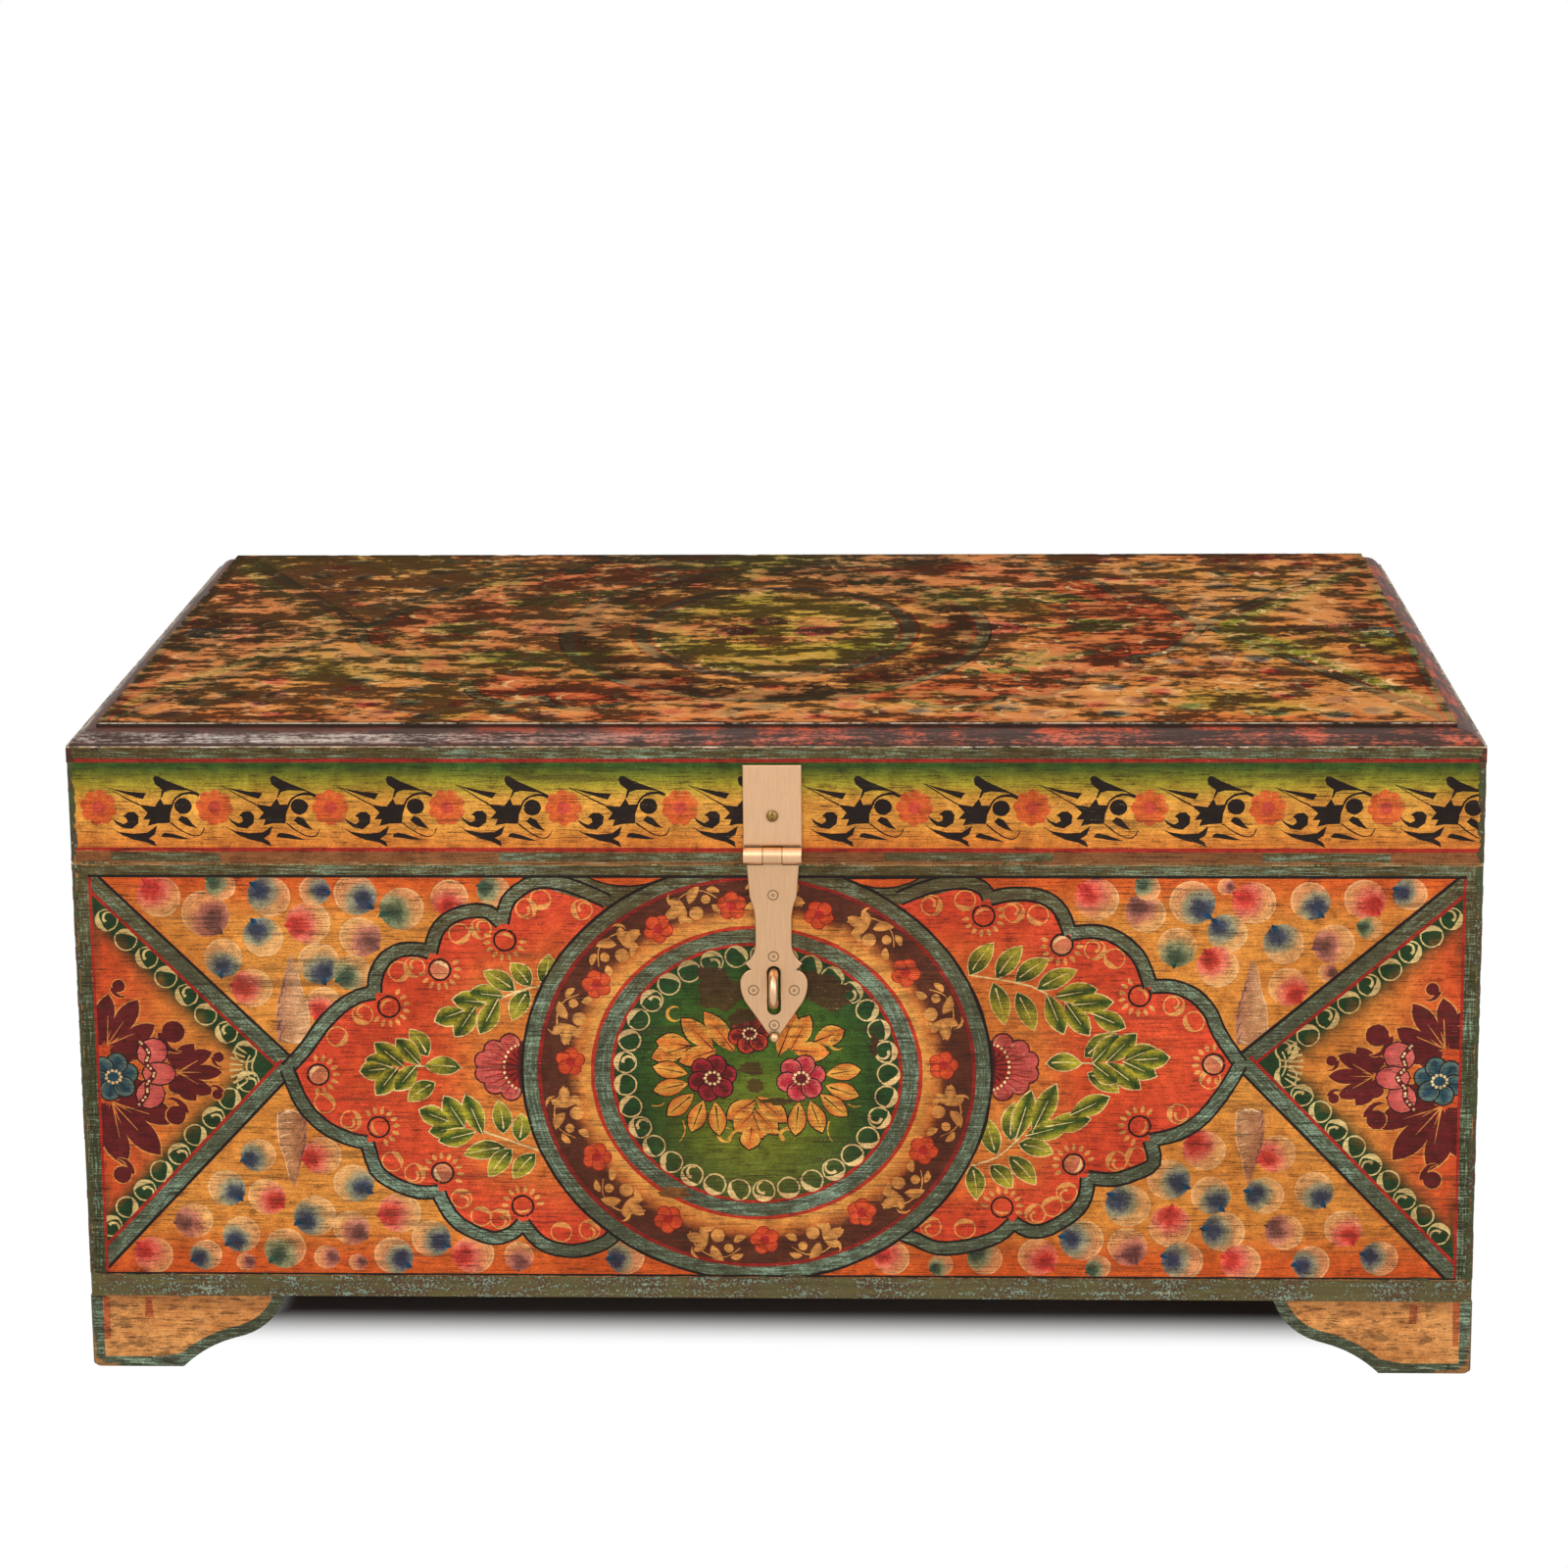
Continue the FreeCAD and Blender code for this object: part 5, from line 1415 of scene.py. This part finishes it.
def timber(p, col, fine, shade=0.6):
    """Colour of bare aged wood with its grain."""
    grain = noise(stretch(p, *fine), 1.0, 6.0, 0.62)
    rings = noise(stretch(p, *[f * 0.15 for f in fine]), 1.0, 3.0, 0.5)
    dark = blend(col["inside"], col["umber"], shade)
    colour = mixed(step(grain * 0.6 + rings * 0.4, 0.36, 0.62), dark, col["inside"])
    pores = step(grain, 0.42, 0.34)
    return mixed(pores * 0.5, colour, col["umber"]), grain


def outside(p):
    """Shares that are 1 on the outer faces of the box and on its back, and 0 inside; and the height."""
    x, y, z = split(p)
    side = abs(x) > (RIGHT / 1000 - OUTER_DEPTH)
    front = y < (FRONT / 1000 + OUTER_DEPTH)
    back = y > (BACK / 1000 - OUTER_DEPTH)
    return p.math("MAXIMUM", side, p.math("MAXIMUM", front, back)), back, z


def board_finish(name, outer, back_tone=None, rate=0.5):
    """Boards painted on the outside, worn at their edges and bare within."""
    col = colours()
    material, p = begin(name)
    wood, grain = timber(p, col, (16, 16, 520))
    out, back, z = outside(p)
    streaks = noise(stretch(p, 60, 60, 420), 1.0, 5.0, 0.68)
    cloud = noise(p, 40.0, 5.0, 0.65)
    speck = noise(p, 900.0, 3.0, 0.6)
    paint = mixed(step(cloud + (streaks - 0.5) * 0.6, 0.42, 0.60), outer, blend(outer, col["varnish"], 0.6))
    flecks = step(streaks * 0.3 + cloud * 0.25 + speck * 0.5, 0.66 - 0.16 * rate, 0.72 - 0.15 * rate)
    paint = mixed(flecks * 0.8, paint, col["teal_light"])
    if back_tone:
        tint = mixed(step(cloud, 0.35, 0.7), back_tone, blend(back_tone, col["umber"], 0.45))
        paint = mixed(back, paint, tint)
    paint = scaled(paint, 0.30 + 1.4 * grain)
    chip = step(cloud * 0.4 + streaks * 0.4 + speck * 0.25, 0.63, 0.69)
    lip = step(abs(z - (SEAM + LID_LOW) / 2000), 0.0010, 0.0005) * step(cloud * 0.5 + speck * 0.5, 0.40, 0.52)
    chip = p.math("MAXIMUM", chip * 0.6, lip * 0.8)
    paint = mixed(chip, paint, mixed(speck, col["bare"], blend(col["cream"], col["bare"], 0.3)))
    colour = mixed(out, wood, paint)
    height = grain * 0.8 + speck * 0.2 - chip * 0.3 * out
    return close(p, material, colour, 0.55 + 0.25 * grain, height, 0.0006, specular=0.2)


def moulding_finish(name):
    """Moulded lid edge in worn brown-red varnish, with painted highlights on the ovolo and arrises and
    painted shade in the quirk and step; bare wood beneath.
    """
    col = colours()
    material, p = begin(name)
    wood, _ = timber(p, col, (16, 420, 420))
    x, _, z = split(p)
    z = z * 1000.0

    def level(base, low, high, top, end):
        """Share of the heights from low and high up to top and end, measured from a base."""
        return step(z, base + low, base + high) * step(z, base + end, base + top)

    streaks = noise(stretch(p, 30, 30, 900), 1.0, 5.0, 0.65)
    cloud = noise(p, 45.0, 5.0, 0.65)
    speck = noise(stretch(p, 260, 700, 900), 1.0, 3.0, 0.65)
    dark = blend(col["varnish"], col["umber"], 0.75)
    tint = mixed(step(cloud * 0.5 + streaks * 0.5, 0.42, 0.58), dark, col["varnish"])
    flame = step(cloud * 0.40 + speck * 0.30 + streaks * 0.3, 0.49, 0.60) * step(x, -0.30, 0.05)
    tint = mixed(flame * 0.7, tint, blend(col["brick"], col["orange"], 0.35))
    # Painted highlight: pale streaks along the middle of the ovolo, strongest on the left, stand in for the
    # shine of the varnish
    painted_highlight = step(streaks * 0.45 + speck * 0.30 + cloud * 0.25, 0.44, 0.62)
    painted_highlight = painted_highlight * level(LID_FACE, 0.8, 2.2, 4.4, 6.6) * (0.12 + 0.88 * step(x, 0.02, -0.30))
    tint = mixed(painted_highlight * 0.56, tint, blend(col["cream"], (0.86, 0.84, 0.86), 0.6))
    # Painted shade: the recessed quirk under the top and the step above the plain face are darkened to umber
    quirk_shade = level(LID_TOP, -2.6, -2.3, -0.9, -0.6)
    foot = level(LID_FACE, -0.2, 0.05, 0.35, 0.9)
    tint = mixed(p.math("MAXIMUM", quirk_shade, foot) * 0.85, tint, col["umber"])
    # Pale arrises at the top edge and at the top of the face: partly worn paint, partly painted highlight
    arris_highlight_and_wear = p.math("MAXIMUM", level(LID_TOP, -0.8, -0.35, -0.10, -0.02),
                   level(LID_FACE, -0.9, -0.2, -0.1, 0.1))
    arris_highlight_and_wear = arris_highlight_and_wear * step(cloud * 0.5 + speck * 0.5, 0.42, 0.56)
    tint = mixed(arris_highlight_and_wear * 0.8, tint, blend(col["cream"], WHITE, 0.3))
    colour = mixed(z > LID_FACE - 8.6, wood, tint)
    return close(p, material, colour, 0.45 + 0.30 * cloud, streaks * 0.6 + speck * 0.4, 0.0008, specular=0.22)


def raw_finish(name):
    """Rough sawn wood without paint."""
    material, p = begin(name)
    wood, grain = timber(p, colours(), (18, 18, 420), 0.5)
    saw = noise(stretch(p, 500, 40, 40), 1.0, 3.0, 0.6)
    height = grain * 0.6 + saw * 0.4
    return close(p, material, scaled(wood, 0.75 + 0.5 * saw), 0.7 + 0.2 * grain, height, 0.0008)


def brass_finish(name, light, dark, shine):
    """Hand-filed brass with scratches and a dark patina in its hollows."""
    material, p = begin(name)
    file_marks = noise(stretch(p, 900, 900, 60), 1.0, 5.0, 0.65)
    cross_marks = noise(stretch(p, 120, 900, 1400), 1.0, 4.0, 0.6)
    cloud = noise(p, 90.0, 5.0, 0.6)
    hollow = 1 - p.add("AmbientOcclusion", {"samples": 6}, {"Distance": 0.0022}, out="AO")
    patina = step(cloud * 0.55 + file_marks * 0.2 + hollow * 1.5, 0.40, 0.85)
    colour = scaled(mixed(patina * 0.85, light, dark), 0.80 + 0.4 * file_marks)
    rough = shine + 0.22 * cloud + 0.15 * patina
    height = file_marks * 0.6 + cross_marks * 0.25 + cloud * 0.5
    return close(p, material, colour, rough, height, 0.00012, metal=1.0 - 0.35 * patina)


def iron_finish(name):
    """Forged nail heads, rusted and worn dark."""
    col = colours()
    material, p = begin(name)
    rust = noise(p, 700.0, 5.0, 0.65)
    colour = mixed(step(rust, 0.42, 0.68), col["iron"], blend(col["brown"], col["brick"], 0.3))
    return close(p, material, colour, 0.55 + 0.3 * rust, rust, 0.0003, metal=step(rust, 0.6, 0.4) * 0.7)


def dress(names, finish):
    """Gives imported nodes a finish."""
    for name in names:
        mesh = frame["nodes"][name].data
        mesh.materials.clear()
        mesh.materials.append(finish)


# Stage

def seen(p):
    """Share that is 1 for rays from the camera, also by way of a mirror or through glass."""
    ray = p.add("LightPath")
    return p.math("MINIMUM", 1.0, ray + ray.other("Is Glossy Ray") + ray.other("Is Transmission Ray"))


def studio_floor():
    """A wide floor, white to the camera, that keeps the shadow beneath the chest; its own colour is darkened
    there as a painted shadow.
    """
    bpy.ops.object.select_all(action="DESELECT")
    bpy.ops.mesh.primitive_plane_add(size=60, location=(0, 0, -0.0004))
    floor = bpy.context.object
    floor.name = "studio_floor"
    material, p = begin("studio_white")
    x, y, _ = split(p)
    off = p.math("MAXIMUM", abs(x) - RIGHT / 1000, abs(y) - BACK / 1000)
    away = step(off, -0.099, -0.047)
    # Painted shadow: the floor's own colour turns dark grey under the chest
    pale = mixed(step(off, -0.100, -0.050), (0.20, 0.20, 0.20), (0.93, 0.93, 0.93))
    matte = p.add("BsdfDiffuse", {}, {"Color": pale})
    glow = p.add("Emission", {}, {"Color": WHITE, "Strength": 1.0})
    lift = p.add("MixShader", {}, {0: seen(p) * away, 1: matte, 2: glow})
    p.add("OutputMaterial", {}, {"Surface": lift})
    floor.data.materials.append(material)


def studio_sky(strength):
    """Even light from all around, white where the camera sees it."""
    world = bpy.data.worlds.new("studio")
    world.use_nodes = True
    world.node_tree.nodes.clear()
    sky = Socket(world.node_tree, None)
    light = sky.add("Background", {}, {"Color": WHITE, "Strength": strength + seen(sky) * (1.0 - strength)})
    sky.add("OutputWorld", {}, {"Surface": light})
    bpy.context.scene.world = world


def studio_lamp(name, spot, power, wide):
    """A soft lamp turned to the middle of the chest."""
    lamp = bpy.data.lights.new(name, "AREA")
    lamp.energy, lamp.size = power, wide
    holder = bpy.data.objects.new(name, lamp)
    bpy.context.scene.collection.objects.link(holder)
    holder.location = spot
    aim = Vector((0, 0, 0.18)) - Vector(spot)
    holder.rotation_euler = aim.to_track_quat("-Z", "Y").to_euler()


def studio_camera(settings):
    """The camera at the photograph's viewing angle."""
    yaw, pitch, roll = settings.turn
    ahead = Vector((-math.sin(yaw) * math.cos(pitch), math.cos(yaw) * math.cos(pitch), -math.sin(pitch)))
    right = Vector((math.cos(yaw), math.sin(yaw), 0))
    up = right.cross(ahead)
    across = right * math.cos(roll) + up * math.sin(roll)
    upward = up * math.cos(roll) - right * math.sin(roll)
    lens = bpy.data.cameras.new("camera")
    lens.lens, lens.sensor_width, lens.clip_end = settings.lens, 36.0, 200.0
    lens.shift_x, lens.shift_y = settings.shift
    camera = bpy.data.objects.new("camera", lens)
    bpy.context.scene.collection.objects.link(camera)
    turn = Matrix((across, upward, -ahead)).transposed().to_4x4()
    camera.matrix_world = Matrix.Translation(settings.place) @ turn
    bpy.context.scene.camera = camera


# Operators

class CHEST_OT_boards(bpy.types.Operator):
    """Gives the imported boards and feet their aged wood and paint"""
    bl_idname = "chest.boards"
    bl_label = "Boards and feet"

    def execute(self, context):
        col = colours()

        def ending(*ends):
            return [name for name in frame["nodes"] if name.endswith(ends)]

        dress(ending("_panel", "_rail"),
              board_finish("aged_boards", col["olive"], blend(col["brown"], col["brick"], 0.35)))
        dress(["bottom_board"], board_finish("bottom_band", blend(col["olive"], col["bare"], 0.12), rate=0.7))
        dress(ending("_foot_face", "_foot_side"),
              board_finish("foot_boards", blend(col["teal"], col["bare"], 0.3),
                           blend(col["ochre"], col["brown"], 0.5)))
        dress(ending("_plank"), moulding_finish("moulded_edge"))
        dress(ending("_foot_block"), raw_finish("glue_block_wood"))
        return {"FINISHED"}


class CHEST_OT_metalwork(bpy.types.Operator):
    """Gives the hasp, staple, hinges, screws and nails their metal"""
    bl_idname = "chest.metalwork"
    bl_label = "Metalwork"

    def execute(self, context):
        col, nodes = colours(), frame["nodes"]
        dark, handled = blend(col["umber"], col["hinge"], 0.25), blend(col["brass"], col["hinge"], 0.14)
        dress(["hasp_plate", "staple"], brass_finish("filed_brass", col["brass"], dark, 0.27))
        dress(["hasp_strap"], brass_finish("handled_brass", handled, dark, 0.27))
        hinges = [n for n in nodes if "hinge" in n or n in ("hasp_pin", "hasp_plate_screw")]
        dress(hinges, brass_finish("tarnished_brass", col["hinge"], dark, 0.36))
        dress([n for n in nodes if "nail" in n], iron_finish("forged_iron"))
        return {"FINISHED"}


def front_place(x, z):
    """Place on the front: distance to the right, and height."""
    return x / 1000, FRONT / 1000 - bpy.context.scene.chest_sizes.skin, z / 1000


def end_place(s):
    """Place on an end: distance to the right as seen from that side, and height."""
    off = RIGHT / 1000 + bpy.context.scene.chest_sizes.skin
    return lambda y, z: (s * off, s * y / 1000, z / 1000)


class CHEST_OT_front_painting(bpy.types.Operator):
    """Paints the front of the chest"""
    bl_idname = "chest.front_painting"
    bl_label = "Front painting"

    def execute(self, context):
        c, col = Canvas(1), colours()
        edges = edge_wear(FRONT_BOX, 0.8, EDGE_ROW)

        def wear(x, z):
            patch = math.hypot((x + 6) / 40, (z - 217) / 22)
            return edges(x, z) + 0.35 * smooth(1.2, 0.4, patch)

        c.wear = wear
        panel(c, col, FRONT_BOX, CENTRE, FRONT_RING, FRONT_DISC, size("frame"), DAUBS)
        rubbed = blend(col["brown"], col["umber"], 0.35)
        for spot in WORN_SPOTS:
            c.lay(ragged(c, *spot, 17, 0.55, 1.15), rubbed, cover=0.78)
        chips(c, FRONT_BOX, 150, 3.2)
        c.piece("front_painting", front_place, size("grid"), "chest", "painted_walls",
                painted("front_paint", WALL_GRAIN, WALL_SOOT, 0.35, 0.25))
        return {"FINISHED"}


class CHEST_OT_lid_front_painting(bpy.types.Operator):
    """Paints the stencilled band on the front of the lid"""
    bl_idname = "chest.lid_front_painting"
    bl_label = "Lid front painting"

    def execute(self, context):
        c, col = Canvas(2), colours()
        c.wear = edge_wear(LID_BOX, 0.8, EDGE_ROW)
        lid_band(c, col, LID_BOX, -331.0, skip=28)
        chips(c, LID_BOX, 110, 2.6)
        c.piece("lid_front_painting", front_place, size("grid") * 0.7, "lid", "painted_lid_sides",
                painted("lid_front_paint", WALL_GRAIN, WALL_SOOT, 0.35, 0.25))
        return {"FINISHED"}


class CHEST_OT_lid_top_painting(bpy.types.Operator):
    """Paints the worn top of the lid"""
    bl_idname = "chest.lid_top_painting"
    bl_label = "Lid top painting"

    def execute(self, context):
        c, col = Canvas(3), colours()
        left, right, low, high = TOP_BOX
        c.wear = edge_wear(TOP_BOX, 0.5, 6)
        old = dict(col, green=blend(col["lime"], col["yellow"], 0.35),
                   dark_green=blend(col["green"], col["lime"], 0.4),
                   orange=blend(col["orange"], col["tan"], 0.35),
                   brick=blend(col["brick"], col["brown"], 0.3),
                   ochre=blend(col["ochre"], col["tan"], 0.35))
        panel(c, old, TOP_BOX, TOP_CENTRE, TOP_RING, TOP_DISC, 5.0)
        pale = blend(col["cream"], col["tan"], 0.45)

        def clear(p):
            return math.hypot((p[0] - TOP_CENTRE[0]) / 136, (p[1] - TOP_CENTRE[1]) / 182) > 1

        for x, y in scatter(c, clear, (left + 16, right - 16, low + 14, high - 14), 21, 1500):
            Pen(c, x, y, c.rng.uniform(-1.2, 1.2)).crescent(0, 0, 9.6, 3.4, 1.4, 3.6, pale)
        for seam in PLANK_SEAMS:
            wavy = [(x, seam + c.rng.uniform(-0.25, 0.25)) for x in range(int(left) + 5, int(right), 24)]
            c.chip(ribbon([(left - 1, seam)] + wavy + [(right + 1, seam)], 0.7))
        chips(c, TOP_BOX, 120, 3.0)
        top = LID_TOP / 1000 + context.scene.chest_sizes.skin
        c.piece("lid_top_painting", lambda x, y: (x / 1000, y / 1000, top), size("grid") * 1.3, "lid",
                "painted_lid_top", painted("lid_top_paint", TOP_GRAIN, TOP_SOOT, 0.4, 1.0))
        return {"FINISHED"}


class CHEST_OT_end_paintings(bpy.types.Operator):
    """Paints both ends of the chest and of the lid"""
    bl_idname = "chest.end_paintings"
    bl_label = "End paintings"

    def execute(self, context):
        col = colours()
        walls = painted("end_paint", WALL_GRAIN, WALL_SOOT, 0.45, 0.35)
        rails = painted("lid_end_paint", WALL_GRAIN, WALL_SOOT, 0.4, 0.3)
        for s, name in ((-1, "left"), (1, "right")):
            left, right = sorted((s * (FRONT + FACE_EDGE), s * (BACK - FACE_EDGE)))
            c, box = Canvas(10 + s), (left, right, *FRONT_BOX[2:])
            c.wear = edge_wear(box, 0.8, EDGE_ROW)
            end_panel(c, col, box)
            chips(c, box, 120, 3.2)
            c.chip([(s * STOP_NEAR, SEAM + 1), (s * STOP_FAR, SEAM + 1), (s * STOP_FAR, SEAM - STOP_RUN)])
            c.piece(name + "_end_painting", end_place(s), size("grid"), "chest", "painted_walls", walls)
            c, box = Canvas(20 + s), (left, right, *LID_BOX[2:])
            c.wear = edge_wear(box, 0.8, EDGE_ROW)
            lid_band(c, col, box, left + 40)
            chips(c, box, 80, 2.6)
            c.chip([(s * STOP_NEAR, LID_LOW - 1), (s * STOP_FAR, LID_LOW - 1),
                    (s * STOP_FAR, LID_LOW + STOP_RUN)])
            c.piece(name + "_lid_painting", end_place(s), size("grid"), "lid", "painted_lid_sides", rails)
        return {"FINISHED"}


class CHEST_OT_foot_paintings(bpy.types.Operator):
    """Paints the faces of the bracket feet"""
    bl_idname = "chest.foot_paintings"
    bl_label = "Foot paintings"

    def execute(self, context):
        col = colours()
        finish = painted("foot_paint", FOOT_GRAIN, FOOT_SOOT, 0.4, 0.45)
        skin = context.scene.chest_sizes.skin
        faces = []
        for s, across in ((-1, "left"), (1, "right")):
            faces.append((f"front_{across}_foot_face_painting", s > 0,
                          lambda x, z, s=s: ((s * RIGHT + x) / 1000, FRONT / 1000 - skin, z / 1000)))
            faces.append((f"back_{across}_foot_face_painting", s < 0,
                          lambda x, z, s=s: ((s * RIGHT - x) / 1000, BACK / 1000 + skin, z / 1000)))
            for depth, edge in (("front", FRONT), ("back", BACK)):
                faces.append((f"{depth}_{across}_foot_side_painting", (depth == "back") == (s > 0),
                              lambda x, z, s=s, edge=edge: (s * (RIGHT / 1000 + skin), (edge + s * x) / 1000,
                                                            z / 1000)))
        for i, (name, mirror, place) in enumerate(faces):
            c = Canvas(40 + i)
            c.wear = lambda x, z: 0.8 * smooth(14, 0, math.hypot(x, z)) + 0.3 * smooth(5, 0, z)
            bracket(c, col, mirror)
            c.piece(name, place, 4.0, "chest", "painted_feet", finish)
        return {"FINISHED"}


class CHEST_OT_stage(bpy.types.Operator):
    """Sets the pale floor, the soft light and the camera"""
    bl_idname = "chest.stage"
    bl_label = "Stage"

    def execute(self, context):
        settings = context.scene.chest_stage
        studio_floor()
        studio_sky(settings.sky)
        studio_lamp("key", (-1.3, -2.3, 2.5), settings.key, 1.8)
        studio_lamp("fill", (1.9, -2.1, 1.6), settings.fill, 2.0)
        studio_lamp("top", (0.1, 0.7, 2.7), settings.top, 2.2)
        studio_camera(settings)
        context.scene.view_settings.view_transform = "Standard"
        return {"FINISHED"}


class CHEST_PT_panel(bpy.types.Panel):
    """Lists the steps that finish the chest"""
    bl_idname = "CHEST_PT_panel"
    bl_label = "Painted chest"
    bl_space_type = "VIEW_3D"
    bl_region_type = "UI"
    bl_category = "Chest"

    def draw(self, context):
        for step_class in STEPS:
            self.layout.operator(step_class.bl_idname)


GROUPS = (("chest_colours", ChestColours), ("chest_sizes", ChestSizes), ("chest_stage", ChestStage))
STEPS = (CHEST_OT_boards, CHEST_OT_metalwork, CHEST_OT_front_painting, CHEST_OT_lid_front_painting,
         CHEST_OT_lid_top_painting, CHEST_OT_end_paintings, CHEST_OT_foot_paintings, CHEST_OT_stage)


def register():
    """Adds the settings, the steps and the panel to Blender."""
    for name, group in GROUPS:
        bpy.utils.register_class(group)
        setattr(bpy.types.Scene, name, PointerProperty(type=group))
    for step_class in (*STEPS, CHEST_PT_panel):
        bpy.utils.register_class(step_class)


def unregister():
    """Takes them away again."""
    for step_class in (CHEST_PT_panel, *STEPS[::-1]):
        bpy.utils.unregister_class(step_class)
    for name, group in GROUPS[::-1]:
        delattr(bpy.types.Scene, name)
        bpy.utils.unregister_class(group)


def main():
    """Runs every step in order."""
    register()
    bpy.ops.chest.boards()
    bpy.ops.chest.metalwork()
    bpy.ops.chest.front_painting()
    bpy.ops.chest.lid_front_painting()
    bpy.ops.chest.lid_top_painting()
    bpy.ops.chest.end_paintings()
    bpy.ops.chest.foot_paintings()
    bpy.ops.chest.stage()


if __name__ == "__main__":
    main()
